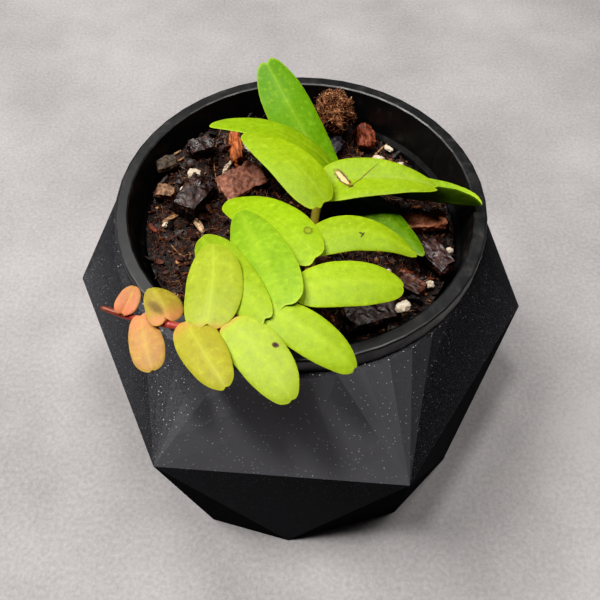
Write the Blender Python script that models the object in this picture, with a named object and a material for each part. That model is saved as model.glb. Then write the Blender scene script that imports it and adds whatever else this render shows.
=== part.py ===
"""A potted dischidia: one leafy shoot rooted in bark mix, in a black nursery pot that hangs by its rim
in a faceted printed planter.

Metres, +Z up. The origin is the centre of the planter's base face. The shoot rises behind the middle of
the pot, arches forward (-Y) over the rim and turns to the left (-X).
"""
import math
import random

import bmesh
import bpy
from mathutils import Vector, noise
from mathutils.bvhtree import BVHTree

MM = 0.001
GAP = 0.35 * MM  # clearance between pieces that rest on each other

# Faceted planter: a 12-sided base, a belt of six corners and a round mouth.
PLANTER_HEIGHT = 92.5 * MM
BELT_HEIGHT = 55.6 * MM
BELT_RADIUS = 67.2 * MM
BASE_RADIUS = 60.3 * MM
MOUTH_RADIUS = 48.4 * MM
PLANTER_WALL = 2.4 * MM
PLANTER_FLOOR = 3.0 * MM
SIDES = 6
BELT_TURN = math.radians(-4.1)
BASE_CORNER_TWIST = math.radians(6.8)  # of the base vertex under each belt corner
BASE_SIDE_TWIST = math.radians(1.4)  # of the base vertex under each belt side
MOUTH_STEPS = 8  # segments of the mouth for each belt corner
FACET_ROWS = 3

# Nursery pot: thin, tapered, with a turned-down rim and a stacking step inside.
POT_CENTRE = Vector((0.8 * MM, 0.4 * MM, 0))
POT_TOP = 98.0 * MM
POT_BOTTOM = 10.0 * MM
RIM_RADIUS = 47.5 * MM
RIM_SKIRT = 1.0 * MM
RIM_PLATE = 1.0 * MM
RIM_ROUNDING = 0.7 * MM
RIM_INNER_EASE = 0.5 * MM  # of the rim's inner edge
POT_WALL = 1.0 * MM
POT_TOP_RADIUS = 45.0 * MM  # outside, under the rim
POT_STEP_TOP = 86.6 * MM
POT_STEP_BOTTOM = 85.2 * MM
POT_STEP_RADIUS = 43.9 * MM  # outside, above the step
POT_STEP_DEPTH = 1.0 * MM
POT_BOTTOM_RADIUS = 32.0 * MM
POT_HEEL = 2.0 * MM  # bevel where the wall meets the bottom
POT_FLOOR = 1.6 * MM
CENTRE_HOLE_RADIUS = 5.0 * MM
DRAIN_HOLES = 6
DRAIN_RADIUS = 3.5 * MM
DRAIN_RING = 21.0 * MM
POT_STEPS = 48

# Potting mix: a lumpy top, banked up at the back left and slumped at the back right.
SOIL_LEVEL = 88.0 * MM
SOIL_SLOPE = -0.03  # rise towards +X
SOIL_MOUNDS = (  # X, Y, spread and rise in millimetres
    (-26.0, 26.0, 14.0, 2.6),
    (29.0, 26.0, 11.0, -3.4),
)
SOIL_LUMP = 1.3 * MM
SOIL_LUMP_SIZES = (9.0 * MM, 4.2 * MM)
SOIL_SIDE_GAP = 0.5 * MM
SOIL_SHOULDER = 3.0 * MM  # from the pot's step down to where the plug follows the wall
SOIL_RINGS = 9
SOIL_STEPS = 40
STEM_HOLE_RADIUS = 2.8 * MM

# Shoot: the stem's route, from inside the mix to the growing tip, in millimetres.
STEM_ROUTE = (
    (12.0, 19.0, 72.0), (11.2, 16.0, 82.0), (10.0, 11.5, 91.0), (8.0, 5.0, 98.0), (5.0, -7.0, 104.5),
    (3.6, -19.5, 109.5), (3.0, -30.0, 112.5), (1.0, -39.5, 114.2), (-3.0, -44.0, 115.0),
    (-6.5, -46.8, 114.8), (-12.4, -48.8, 114.4), (-17.9, -47.8, 113.8), (-22.0, -47.5, 113.0),
    (-26.6, -46.0, 111.8), (-31.8, -44.2, 110.4), (-36.2, -42.4, 109.4), (-41.1, -40.8, 109.8),
)
ROUTE_STEPS = 4  # stations between two points of the route
STEM_RADIUS = 1.15 * MM
STEM_TIP_RADIUS = 0.6 * MM
STEM_SIDES = 8
COLOUR_CHANGE = 108.7  # millimetres along the stem, where the green shoot ends and the red tip begins
COLOUR_GAP = 0.6

# Leaves: name, place along the stem, length and width in millimetres, then heading, pitch and roll in
# degrees. Bow and sweep say how far the middle stands above and beside the chord, as a share of the
# length. Fold is how far each half blade is raised, in degrees. Egg is above 0 for a leaf that is
# widest towards its base. Lift is from the stem's centre line to the blade, in millimetres.
OLD_LEAVES = (
    ("leaf_01", 20.5, 40.8, 12.7, 130, 38, -11, 0.04, -10, 0.03, -0.22, 1.0),
    ("leaf_02", 22.2, 38.0, 9.8, -53, 6, -6, 0.06, -8, 0.0, 0.25, 1.0),
    ("leaf_03", 27.6, 38.0, 9.5, 163, 15, 19, 0.14, 2, -0.03, -0.15, 1.6),
    ("leaf_04", 29.6, 42.5, 13.5, -17, 5, -58, 0.0, 20, 0.08, -0.20, 1.0),
    ("leaf_05", 45.5, 29.8, 11.3, 134, 5, 2, 0.08, -4, -0.04, 0.25, 2.0),
    ("leaf_06", 37.0, 30.8, 11.8, -5, 6, 4, 0.06, 9, 0.05, 0.42, 1.2),
    ("leaf_07", 69.4, 33.6, 11.4, 132, -16, -7, 0.04, -4, -0.06, 0.08, 2.0),
    ("leaf_08", 64.9, 25.0, 9.0, -4, -4, 5, 0.08, -6, 0.13, 0.42, 1.2),
    ("leaf_09", 84.0, 33.6, 12.0, 110, -12, -16, 0.03, -3, 0.0, 0.22, 2.0),
    ("leaf_10", 79.2, 23.6, 10.5, 6, -5, 8, 0.05, -6, 0.04, 0.04, 1.2),
    ("leaf_11", 89.2, 32.0, 9.4, 121, -13, -16, 0.03, -6, 0.0, -0.12, 2.0),
    ("leaf_12", 87.7, 21.5, 9.0, -31, -14, 9, 0.05, -5, 0.03, 0.10, 1.2),
    ("leaf_13", 101.1, 20.4, 12.2, 90, 3, -6, 0.04, -12, -0.05, 0.04, 2.0),
    ("leaf_14", 95.8, 20.7, 10.2, -51, -7, 12, 0.05, -5, 0.04, 0.04, 1.2),
    ("leaf_15", 105.1, 18.8, 9.0, -59, 5, 10, 0.05, -12, 0.0, 0.12, 1.2),
)
YOUNG_LEAVES = (
    ("leaf_16", 110.5, 9.8, 7.8, 117, -1, 7, 0.03, -15, -0.09, 0.18, 1.6),
    ("leaf_17", 116.4, 13.5, 7.0, -73, -5, 4, 0.04, -8, 0.0, -0.18, 1.0),
    ("leaf_18", 121.0, 7.0, 5.1, 71, 10, 1, 0.0, 14, -0.04, 0.10, 1.2),
)
LEAF_ROWS = 8
LEAF_COLUMNS = 4
LEAF_MIDDLE_THICKNESS = 1.1 * MM
LEAF_EDGE_THICKNESS = 0.6 * MM
LEAF_BLUNTNESS = 2.3  # exponent of the outline: 2 is an ellipse
LEAF_LOBE = 0.08  # share of the length that stands behind the stalk
LEAF_END_WIDTH = 0.16
STALK_RADIUS = 0.8 * MM
STALK_REACH = 0.1 * MM  # of the stalk's end into the blade

# Bark: name, X and Y on the mix, length, width, thickness in millimetres, heading and tilt in degrees, tint.
BARK = (
    ("bark_chip_01", -17.7, 24.5, 12.5, 3.4, 2.6, 97, 8, "orange"),
    ("bark_chip_02", -15.6, 12.4, 12.5, 9.0, 2.0, 35, 14, "rose"),
    ("bark_chip_03", -27.6, 4.6, 12.5, 7.0, 6.0, 62, 6, "dark"),
    ("bark_chip_04", -35.8, 7.8, 5.5, 3.8, 3.0, -10, 5, "tan"),
    ("bark_chip_05", -36.2, 17.0, 6.5, 4.2, 2.6, 25, 12, "tan"),
    ("bark_chip_06", 19.6, 33.4, 8.0, 5.5, 3.2, 100, 20, "red"),
    ("bark_chip_07", 33.6, -0.6, 12.0, 5.5, 4.0, 8, 8, "rose"),
    ("bark_chip_08", 35.3, -12.4, 11.0, 5.5, 4.6, -58, 5, "dark"),
    ("bark_chip_09", 28.6, -20.4, 7.5, 4.4, 3.0, -35, 10, "rose"),
    ("bark_chip_10", 17.6, -30.0, 13.5, 7.0, 4.6, 18, 4, "dark"),
    ("bark_chip_11", 10.0, 27.2, 7.5, 5.0, 4.0, 60, 10, "dark"),
    ("bark_chip_12", -27.0, 22.4, 7.5, 5.0, 4.2, 20, 8, "dark"),
)
BARK_TINTS = {
    "orange": (0.50, 0.19, 0.05), "rose": (0.27, 0.11, 0.065), "dark": (0.045, 0.024, 0.022),
    "tan": (0.36, 0.22, 0.11), "red": (0.22, 0.055, 0.03),
}

# Perlite: name, X and Y on the mix, length and width in millimetres, heading in degrees.
PERLITE = (
    ("perlite_01", -28.5, 14.0, 4.0, 3.6, 20), ("perlite_02", -31.2, 9.6, 2.2, 1.8, 70),
    ("perlite_03", -34.8, -2.4, 2.0, 1.6, 40), ("perlite_04", 23.4, 25.6, 4.2, 3.0, -30),
    ("perlite_05", 26.6, 30.6, 3.2, 1.8, -40), ("perlite_06", 29.6, 24.6, 2.2, 1.8, 0),
    ("perlite_07", 22.6, -16.8, 4.0, 1.8, 50), ("perlite_08", 33.4, -19.6, 2.4, 2.2, 0),
    ("perlite_09", 39.6, -8.4, 2.2, 2.0, 0), ("perlite_10", 25.2, -29.6, 4.0, 3.2, 30),
    ("perlite_11", -13.0, 24.2, 3.2, 2.6, 10),
)

# Coir: the fibrous clump at the back of the pot.
COIR_CENTRE = (10.0, 35.6)
COIR_SIZE = (11.0, 11.0, 13.0)
COIR_HEADING = 25
COIR_TAPER = 0.7
COIR_LUMPS = ((0.30, 4.2), (0.16, 9.0))  # height and frequency, on a ball one unit across

DROP_HEIGHT = POT_TOP + 20 * MM  # loose pieces are made here and lowered onto the mix
BARK_UNEVENNESS = 0.07  # of the size
BARK_ROUNDING = {3: 0.80, 2: 0.92, 1: 1.0}  # of points on a corner, an edge and a face
PERLITE_LUMP = 0.28


def clear_scene():
    for obj in list(bpy.data.objects):
        bpy.data.objects.remove(obj, do_unlink=True)


def material(name, colour, roughness, metallic=0.0):
    found = bpy.data.materials.get(name)
    if found:
        return found
    made = bpy.data.materials.new(name)
    made.use_nodes = True
    shader = made.node_tree.nodes["Principled BSDF"]
    shader.inputs["Base Color"].default_value = (*colour, 1)
    shader.inputs["Roughness"].default_value = roughness
    shader.inputs["Metallic"].default_value = metallic
    made.diffuse_color = (*colour, 1)
    return made


def object_from(name, bm, finish, smooth_angle=None):
    """Closes the bmesh into a named object, with its normals out and its finish assigned."""
    bmesh.ops.remove_doubles(bm, verts=bm.verts, dist=0.0005 * MM)
    bmesh.ops.recalc_face_normals(bm, faces=bm.faces)
    mesh = bpy.data.meshes.new(name)
    bm.to_mesh(mesh)
    bm.free()
    obj = bpy.data.objects.new(name, mesh)
    bpy.context.scene.collection.objects.link(obj)
    obj.data.materials.append(finish)
    if smooth_angle is not None:
        mesh.shade_smooth()
        mesh.set_sharp_from_angle(angle=math.radians(smooth_angle))
    return obj


def new_cutters(name):
    group = bpy.data.collections.new(name)
    bpy.context.scene.collection.children.link(group)
    return group


def move_to(obj, group):
    for old in list(obj.users_collection):
        old.objects.unlink(obj)
    group.objects.link(obj)


def as_cutter(obj, group):
    move_to(obj, group)
    obj.hide_render = True
    obj.display_type = "WIRE"


def boolean(obj, group, operation, solver="EXACT"):
    cut = obj.modifiers.new(operation.lower(), "BOOLEAN")
    cut.operation = operation
    cut.operand_type = "COLLECTION"
    cut.collection = group
    cut.solver = solver


def apply_modifiers(obj):
    bpy.context.view_layer.update()
    graph = bpy.context.evaluated_depsgraph_get()
    mesh = bpy.data.meshes.new_from_object(obj.evaluated_get(graph))
    obj.modifiers.clear()
    obj.data = mesh


def remove_group(group):
    for obj in list(group.objects):
        bpy.data.objects.remove(obj, do_unlink=True)
    bpy.data.collections.remove(group)


def polar(radius, angle, height):
    return Vector((radius * math.cos(angle), radius * math.sin(angle), height))


# ---------------------------------------------------------------- planter


def lattice(bm, lower, upper, rows):
    """A ruled facet between two point lists of the same length; equal neighbours collapse to a fan."""
    grid = [
        [bm.verts.new(a.lerp(b, row / rows)) for a, b in zip(lower, upper)]
        for row in range(rows + 1)
    ]
    for below, above in zip(grid, grid[1:]):
        for i in range(len(below) - 1):
            if (below[i].co - below[i + 1].co).length > GAP / 10:
                bm.faces.new((below[i], below[i + 1], above[i + 1]))
            bm.faces.new((below[i], above[i + 1], above[i]))


def facet_shell(bm, inset, floor):
    """The planter's facets, moved in by inset. It returns the base loop and the mouth loop."""
    step = math.tau / (SIDES * MOUTH_STEPS)
    half = MOUTH_STEPS // 4
    belt = [polar(BELT_RADIUS - inset, BELT_TURN + i * math.tau / SIDES, BELT_HEIGHT) for i in range(SIDES)]
    corners, sides = [], []
    for i in range(SIDES):
        angle = BELT_TURN + i * math.tau / SIDES
        corners.append(polar(BASE_RADIUS - inset, angle + BASE_CORNER_TWIST, floor))
        sides.append(polar(BASE_RADIUS - inset, angle + math.pi / SIDES + BASE_SIDE_TWIST, floor))

    def arc(corner, first, last):
        return [
            polar(MOUTH_RADIUS - inset, BELT_TURN + (corner * MOUTH_STEPS + k) * step, PLANTER_HEIGHT)
            for k in range(first, last + 1)
        ]

    for i in range(SIDES):
        here, after = belt[i], belt[(i + 1) % SIDES]
        fan = arc(i, -half, half)
        span = arc(i, half, MOUTH_STEPS - half)
        last = len(span) - 1
        edge = [here.lerp(after, k / last) for k in range(last + 1)]
        lattice(bm, [here] * len(fan), fan, FACET_ROWS)
        lattice(bm, edge, span, FACET_ROWS)
        for a, b in zip(edge, edge[1:]):
            bm.faces.new([bm.verts.new(p) for p in (a, sides[i], b)])
        bm.faces.new([bm.verts.new(p) for p in (here, corners[i], sides[i])])
        bm.faces.new([bm.verts.new(p) for p in (here, sides[i - 1], corners[i])])
    base = [p for pair in zip(corners, sides) for p in pair]
    mouth = arc(0, 0, SIDES * MOUTH_STEPS - 1)
    return base, mouth


def make_planter():
    bm = bmesh.new()
    base, mouth = facet_shell(bm, 0, 0)
    floor, opening = facet_shell(bm, PLANTER_WALL, PLANTER_FLOOR)
    bm.faces.new([bm.verts.new(p) for p in base])
    bm.faces.new([bm.verts.new(p) for p in floor])
    for i in range(len(mouth)):
        after = (i + 1) % len(mouth)
        bm.faces.new([bm.verts.new(p) for p in (mouth[i], mouth[after], opening[after], opening[i])])
    finish = material("planter_charcoal_plastic", (0.032, 0.033, 0.036), 0.5)
    return object_from("planter", bm, finish, smooth_angle=12)


# ---------------------------------------------------------------- nursery pot


def pot_inner_radius(height):
    """Inside radius of the nursery pot at a height."""
    stations = (
        (POT_BOTTOM, POT_BOTTOM_RADIUS),
        (POT_STEP_BOTTOM, POT_STEP_RADIUS - POT_STEP_DEPTH),
        (POT_STEP_TOP, POT_STEP_RADIUS),
        (POT_TOP, POT_TOP_RADIUS),
    )
    for (z0, r0), (z1, r1) in zip(stations, stations[1:]):
        if height <= z1:
            break
    share = (height - z0) / (z1 - z0)
    return r0 + (r1 - r0) * share - POT_WALL


def pot_profile():
    """(radius, height) round the pot's section, up the outside and down the inside."""
    skirt_bottom = PLANTER_HEIGHT + GAP
    under_rim = POT_TOP - RIM_PLATE
    corner = [
        (RIM_RADIUS - RIM_ROUNDING * (1 - math.cos(a)), POT_TOP - RIM_ROUNDING * (1 - math.sin(a)))
        for a in (0, math.pi / 6, math.pi / 3, math.pi / 2)
    ]
    inside_top = pot_inner_radius(POT_TOP)
    outside = [
        (CENTRE_HOLE_RADIUS, POT_BOTTOM),
        (POT_BOTTOM_RADIUS - POT_HEEL, POT_BOTTOM),
        (POT_BOTTOM_RADIUS + POT_HEEL / 10, POT_BOTTOM + POT_HEEL),
        (POT_STEP_RADIUS - POT_STEP_DEPTH, POT_STEP_BOTTOM),
        (POT_STEP_RADIUS, POT_STEP_TOP),
        (POT_TOP_RADIUS, under_rim),
        (RIM_RADIUS - RIM_SKIRT, under_rim),
        (RIM_RADIUS - RIM_SKIRT, skirt_bottom),
        (RIM_RADIUS, skirt_bottom),
    ]
    inside = [
        (inside_top + RIM_INNER_EASE, POT_TOP),
        (inside_top + RIM_INNER_EASE / 5, POT_TOP - RIM_INNER_EASE / 2),
        (inside_top, POT_TOP - 1.4 * RIM_INNER_EASE),
        (pot_inner_radius(POT_STEP_TOP), POT_STEP_TOP),
        (pot_inner_radius(POT_STEP_BOTTOM), POT_STEP_BOTTOM),
        (pot_inner_radius(POT_BOTTOM + POT_FLOOR), POT_BOTTOM + POT_FLOOR),
        (CENTRE_HOLE_RADIUS, POT_BOTTOM + POT_FLOOR),
    ]
    return outside + corner + inside


def turned(name, profile, steps, finish, centre):
    """A closed (radius, height) section turned round the vertical axis through centre."""
    bm = bmesh.new()
    rings = []
    for k in range(steps):
        angle = k * math.tau / steps
        rings.append([bm.verts.new(centre + polar(r, angle, z)) for r, z in profile])
    for k in range(steps):
        here, after = rings[k], rings[(k + 1) % steps]
        for i in range(len(profile)):
            j = (i + 1) % len(profile)
            bm.faces.new((here[i], after[i], after[j], here[j]))
    return object_from(name, bm, finish, smooth_angle=35)


def cylinder_between(name, start, end, radius, sides, finish):
    bm = bmesh.new()
    axis = end - start
    turn = axis.to_track_quat("Z", "Y").to_matrix().to_4x4()
    turn.translation = (start + end) / 2
    bmesh.ops.create_cone(
        bm, cap_ends=True, segments=sides, radius1=radius, radius2=radius, depth=axis.length, matrix=turn
    )
    return object_from(name, bm, finish)


def make_nursery_pot():
    finish = material("nursery_pot_black_plastic", (0.018, 0.019, 0.021), 0.35)
    pot = turned("nursery_pot", pot_profile(), POT_STEPS, finish, POT_CENTRE)
    drains = new_cutters("drain_cutters")
    for k in range(DRAIN_HOLES):
        foot = POT_CENTRE + polar(DRAIN_RING, (k + 0.5) * math.tau / DRAIN_HOLES, POT_BOTTOM - MM)
        top = foot + Vector((0, 0, POT_FLOOR + 2 * MM))
        as_cutter(cylinder_between(f"drain_cutter_{k + 1}", foot, top, DRAIN_RADIUS, 12, finish), drains)
    boolean(pot, drains, "DIFFERENCE")
    return pot


# ---------------------------------------------------------------- potting mix


def soil_height(x, y):
    """Height of the top of the mix at a place."""
    height = SOIL_LEVEL + SOIL_SLOPE * x
    for centre_x, centre_y, spread, rise in SOIL_MOUNDS:
        distance = math.hypot(x - centre_x * MM, y - centre_y * MM) / (spread * MM)
        height += rise * MM * math.exp(-distance * distance / 2)
    for octave, size in enumerate(SOIL_LUMP_SIZES):
        height += SOIL_LUMP / (octave + 1) * noise.noise(Vector((x / size, y / size, octave * 5)))
    return height


def mix_column(angle, radii):
    """Points down one side of the plug: out along its top, then down the pot's wall to its floor."""
    points = []
    for radius in radii:
        point = POT_CENTRE + polar(radius, angle, 0)
        point.z = soil_height(point.x, point.y)
        points.append(point)
    shoulder = POT_STEP_BOTTOM - SOIL_SHOULDER
    floor = POT_BOTTOM + POT_FLOOR + GAP
    for height in (shoulder, floor):
        points.append(POT_CENTRE + polar(pot_inner_radius(height) - SOIL_SIDE_GAP, angle, height))
    return points


def make_potting_mix(stem_route):
    """A plug that fills the pot, with a lumpy top and a plain hole for the stem."""
    bm = bmesh.new()
    edge = pot_inner_radius(POT_STEP_BOTTOM - SOIL_SHOULDER) - SOIL_SIDE_GAP
    radii = [edge * ring / SOIL_RINGS for ring in range(1, SOIL_RINGS + 1)]
    columns = []
    for k in range(SOIL_STEPS):
        columns.append([bm.verts.new(point) for point in mix_column(k * math.tau / SOIL_STEPS, radii)])
    middle = Vector((POT_CENTRE.x, POT_CENTRE.y, soil_height(POT_CENTRE.x, POT_CENTRE.y)))
    centre = bm.verts.new(middle)
    for k in range(SOIL_STEPS):
        here, after = columns[k], columns[(k + 1) % SOIL_STEPS]
        bm.faces.new((centre, here[0], after[0]))
        for i in range(len(here) - 1):
            bm.faces.new((here[i], here[i + 1], after[i + 1]))
            bm.faces.new((here[i], after[i + 1], after[i]))
    bm.faces.new([column[-1] for column in columns])
    finish = material("potting_mix_dark_brown", (0.03, 0.018, 0.012), 0.95)
    soil = object_from("potting_mix", bm, finish)
    holes = new_cutters("stem_hole_cutters")
    deep, shallow, top = (stem_route[i * ROUTE_STEPS] for i in range(3))
    foot = deep - (shallow - deep).normalized() * MM
    above = shallow + (top - shallow) * 1.2
    as_cutter(cylinder_between("stem_hole_cutter", foot, above, STEM_HOLE_RADIUS, 10, finish), holes)
    boolean(soil, holes, "DIFFERENCE")
    apply_modifiers(soil)
    remove_group(holes)
    return soil


# ---------------------------------------------------------------- loose pieces on the mix


def surface_tree(obj):
    bpy.context.view_layer.update()
    matrix = obj.matrix_world
    points = [matrix @ v.co for v in obj.data.vertices]
    return BVHTree.FromPolygons(points, [tuple(p.vertices) for p in obj.data.polygons]), points


def drop_onto(obj, grounds):
    """Lowers a piece until the nearest thing under it is one gap away."""
    tree, points = surface_tree(obj)
    down, up = Vector((0, 0, -1)), Vector((0, 0, 1))
    clearances = []
    for ground_tree, ground_points in grounds:
        for point in points:
            hit = ground_tree.ray_cast(point, down)
            if hit[0] is not None:
                clearances.append(hit[3])
        for point in ground_points:
            hit = tree.ray_cast(point, up)
            if hit[0] is not None:
                clearances.append(hit[3])
    for vertex in obj.data.vertices:
        vertex.co.z -= min(clearances) - GAP
    obj.data.update()


def place(bm, size, x, y, height, heading, tilt):
    """Scales, tilts and turns a unit shape about its middle, and sets it above the mix."""
    for vertex in bm.verts:
        vertex.co = Vector([vertex.co[i] * size[i] * MM for i in range(3)])
    turn_x, turn_z = math.radians(tilt), math.radians(heading)
    for vertex in bm.verts:
        px, py, pz = vertex.co
        py, pz = py * math.cos(turn_x) - pz * math.sin(turn_x), py * math.sin(turn_x) + pz * math.cos(turn_x)
        px, py = px * math.cos(turn_z) - py * math.sin(turn_z), px * math.sin(turn_z) + py * math.cos(turn_z)
        vertex.co = Vector((px + x * MM, py + y * MM, pz + height))


def make_bark_chip(name, x, y, length, width, thickness, heading, tilt, tint, seed):
    """A split flake of bark: a block with its corners broken off and its faces uneven."""
    bm = bmesh.new()
    bmesh.ops.create_cube(bm, size=1.0)
    bmesh.ops.subdivide_edges(bm, edges=bm.edges, cuts=1, use_grid_fill=True)
    draw = random.Random(seed)
    for vertex in bm.verts:
        outermost = sum(abs(c) > 0.4 for c in vertex.co)
        vertex.co *= BARK_ROUNDING[outermost]
        vertex.co += Vector([draw.uniform(-BARK_UNEVENNESS, BARK_UNEVENNESS) for _ in range(3)])
    bmesh.ops.triangulate(bm, faces=bm.faces)
    place(bm, (length, width, thickness), x, y, DROP_HEIGHT, heading, tilt)
    return object_from(name, bm, material(f"bark_{tint}", BARK_TINTS[tint], 0.8), smooth_angle=30)


def make_perlite(name, x, y, length, width, heading, seed):
    """A popped grain of perlite: a small knobbly ball."""
    bm = bmesh.new()
    bmesh.ops.create_icosphere(bm, subdivisions=2, radius=0.5)
    draw = random.Random(seed)
    shift = Vector([draw.uniform(0, 9) for _ in range(3)])
    for vertex in bm.verts:
        vertex.co *= 1 + PERLITE_LUMP * noise.noise(vertex.co * 3.2 + shift)
    place(bm, (length, width, width * 0.9), x, y, DROP_HEIGHT, heading, 0)
    return object_from(name, bm, material("perlite_white", (0.80, 0.76, 0.68), 0.75), smooth_angle=50)


def make_coir_clump():
    """The mound of coir fibre at the back of the pot, as one lumpy body."""
    bm = bmesh.new()
    bmesh.ops.create_icosphere(bm, subdivisions=3, radius=0.5)
    for vertex in bm.verts:
        lump = sum(size * noise.noise(vertex.co * scale) for size, scale in COIR_LUMPS)
        waist = 1 - COIR_TAPER * max(0.0, vertex.co.z)
        vertex.co = Vector((vertex.co.x * waist, vertex.co.y * waist, vertex.co.z)) * (1 + lump)
    place(bm, COIR_SIZE, *COIR_CENTRE, DROP_HEIGHT, COIR_HEADING, 0)
    return object_from("coir_clump", bm, material("coir_brown", (0.30, 0.145, 0.07), 0.95), smooth_angle=40)


def make_loose_pieces(soil):
    grounds = [surface_tree(soil)]
    pieces = [make_bark_chip(*row, seed=i + 11) for i, row in enumerate(BARK)]
    pieces += [make_perlite(*row, seed=i + 41) for i, row in enumerate(PERLITE)]
    pieces.append(make_coir_clump())
    for piece in pieces:
        drop_onto(piece, grounds)
        grounds.append(surface_tree(piece))
    return pieces


# ---------------------------------------------------------------- shoot


def smooth_route(points, steps):
    """Catmull-Rom curve through the points, with the given number of stations between two of them."""
    ends = [points[0] * 2 - points[1], *points, points[-1] * 2 - points[-2]]
    stations = []
    for p0, p1, p2, p3 in zip(ends, ends[1:], ends[2:], ends[3:]):
        for k in range(steps):
            t = k / steps
            cubic = (p1 * 3 - p0 - p2 * 3 + p3) * t**3
            stations.append((p1 * 2 + (p2 - p0) * t + (p0 * 2 - p1 * 5 + p2 * 4 - p3) * t**2 + cubic) / 2)
    return [*stations, points[-1]]


def lengths_along(route):
    total, lengths = 0.0, [0.0]
    for here, after in zip(route, route[1:]):
        total += (after - here).length
        lengths.append(total)
    return lengths


def point_along(route, lengths, distance):
    for i in range(len(route) - 1):
        if distance <= lengths[i + 1]:
            break
    share = (distance - lengths[i]) / (lengths[i + 1] - lengths[i])
    return route[i].lerp(route[i + 1], share)


def tube(name, route, radii, sides, finish):
    """A round tube along a route, with flat ends, as a curve with a bevel."""
    curve = bpy.data.curves.new(name, "CURVE")
    curve.dimensions = "3D"
    curve.bevel_depth = 1.0
    curve.bevel_resolution = sides // 2 - 2
    curve.use_fill_caps = True
    spline = curve.splines.new("POLY")
    spline.points.add(len(route) - 1)
    for point, where, radius in zip(spline.points, route, radii):
        point.co = (*where, 1)
        point.radius = radius
    obj = bpy.data.objects.new(name, curve)
    bpy.context.scene.collection.objects.link(obj)
    bpy.context.view_layer.update()
    graph = bpy.context.evaluated_depsgraph_get()
    mesh = bpy.data.meshes.new_from_object(obj.evaluated_get(graph))
    bpy.data.objects.remove(obj, do_unlink=True)
    bm = bmesh.new()
    bm.from_mesh(mesh)
    bpy.data.meshes.remove(mesh)
    return object_from(name, bm, finish, smooth_angle=60)


def stem_piece(name, route, lengths, start, end, finish):
    """The stem between two distances along it. It thins towards the tip."""
    stops = [start] + [s for s in lengths if start + 0.4 * MM < s < end - 0.4 * MM] + [end]
    points = [point_along(route, lengths, s) for s in stops]
    radii = [STEM_RADIUS + (STEM_TIP_RADIUS - STEM_RADIUS) * (s / lengths[-1]) ** 2 for s in stops]
    return tube(name, points, radii, STEM_SIDES, finish)


def leaf_frame(heading, pitch, roll):
    """Unit vectors along the leaf, across it to its left, and out of its upper face."""
    h, p, r = (math.radians(a) for a in (heading, pitch, roll))
    along = Vector((math.cos(h) * math.cos(p), math.sin(h) * math.cos(p), math.sin(p)))
    across = Vector((-math.sin(h), math.cos(h), 0))
    out = along.cross(across)
    return along, across * math.cos(r) + out * math.sin(r), out * math.cos(r) - across * math.sin(r)


def make_leaf(name, base, length, width, heading, pitch, roll, bow, fold, sweep, egg, lift, finish):
    """A thick oval blade: rounded at the base, which laps over the stem, and bowed along its rib."""
    along, across, out = leaf_frame(heading, pitch, roll)
    level, raised = math.cos(math.radians(fold)), math.sin(math.radians(fold))
    bm = bmesh.new()
    upper, lower = [], []
    for row in range(LEAF_ROWS + 1):
        u = (1 - math.cos(math.pi * row / LEAF_ROWS)) / 2
        outline = (1 - abs(2 * u - 1) ** LEAF_BLUNTNESS) ** (1 / LEAF_BLUNTNESS)
        half = max(outline * (1 + egg * (1 - 2 * u)), LEAF_END_WIDTH) * width / 2
        arch = length * (1 - (2 * u - 1) ** 2)
        spine = base + along * ((u - LEAF_LOBE) * length) + across * (sweep * arch)
        spine += out * (bow * arch + lift * MM)
        tops, bottoms = [], []
        for column in range(LEAF_COLUMNS + 1):
            v = 2 * column / LEAF_COLUMNS - 1
            thick = LEAF_EDGE_THICKNESS
            thick += (LEAF_MIDDLE_THICKNESS - LEAF_EDGE_THICKNESS) * (1 - v * v) * math.sqrt(outline)
            point = spine + across * (half * v * level) + out * (half * abs(v) * raised)
            tops.append(bm.verts.new(point + out * (thick / 2)))
            bottoms.append(bm.verts.new(point - out * (thick / 2)))
        upper.append(tops)
        lower.append(bottoms)
    for row in range(LEAF_ROWS):
        for column in range(LEAF_COLUMNS):
            for sheet, turned_over in ((upper, False), (lower, True)):
                a, b = sheet[row][column], sheet[row][column + 1]
                c, d = sheet[row + 1][column + 1], sheet[row + 1][column]
                for corners in ((a, b, c), (a, c, d)):
                    bm.faces.new(corners[::-1] if turned_over else corners)
        for side in (0, LEAF_COLUMNS):
            edge = (upper[row][side], upper[row + 1][side], lower[row + 1][side], lower[row][side])
            bm.faces.new(edge if side == 0 else edge[::-1])
    for row in (0, LEAF_ROWS):
        for column in range(LEAF_COLUMNS):
            edge = (upper[row][column], upper[row][column + 1], lower[row][column + 1], lower[row][column])
            bm.faces.new(edge[::-1] if row == 0 else edge)
    return object_from(name, bm, finish, smooth_angle=50)


def leafy_stem(name, route, lengths, start, end, leaves, finish):
    """One node: a length of stem and its leaves, fused by one Boolean union."""
    whole = stem_piece(name, route, lengths, start, end, finish)
    group = new_cutters(f"{name}_leaves")
    for leaf, place_on_stem, length, width, heading, pitch, roll, *form in leaves:
        base = point_along(route, lengths, place_on_stem * MM)
        blade = make_leaf(leaf, base, length * MM, width * MM, heading, pitch, roll, *form, finish)
        move_to(blade, group)
        along, _, out = leaf_frame(heading, pitch, roll)
        seat = base + out * (form[-1] * MM + STALK_REACH) + along * (LEAF_LOBE * length * MM)
        move_to(cylinder_between(f"{leaf}_stalk", base, seat, STALK_RADIUS, 6, finish), group)
    boolean(whole, group, "UNION")
    apply_modifiers(whole)
    remove_group(group)
    return whole


def make_shoot(route, lengths):
    green = material("dischidia_leaf_green", (0.42, 0.62, 0.035), 0.42)
    blush = material("dischidia_young_leaf_blush", (0.80, 0.40, 0.16), 0.42)
    change = COLOUR_CHANGE * MM
    leafy_stem("shoot_green", route, lengths, 0.0, change, OLD_LEAVES, green)
    start = change + COLOUR_GAP * MM
    leafy_stem("shoot_young", route, lengths, start, lengths[-1], YOUNG_LEAVES, blush)


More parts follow.
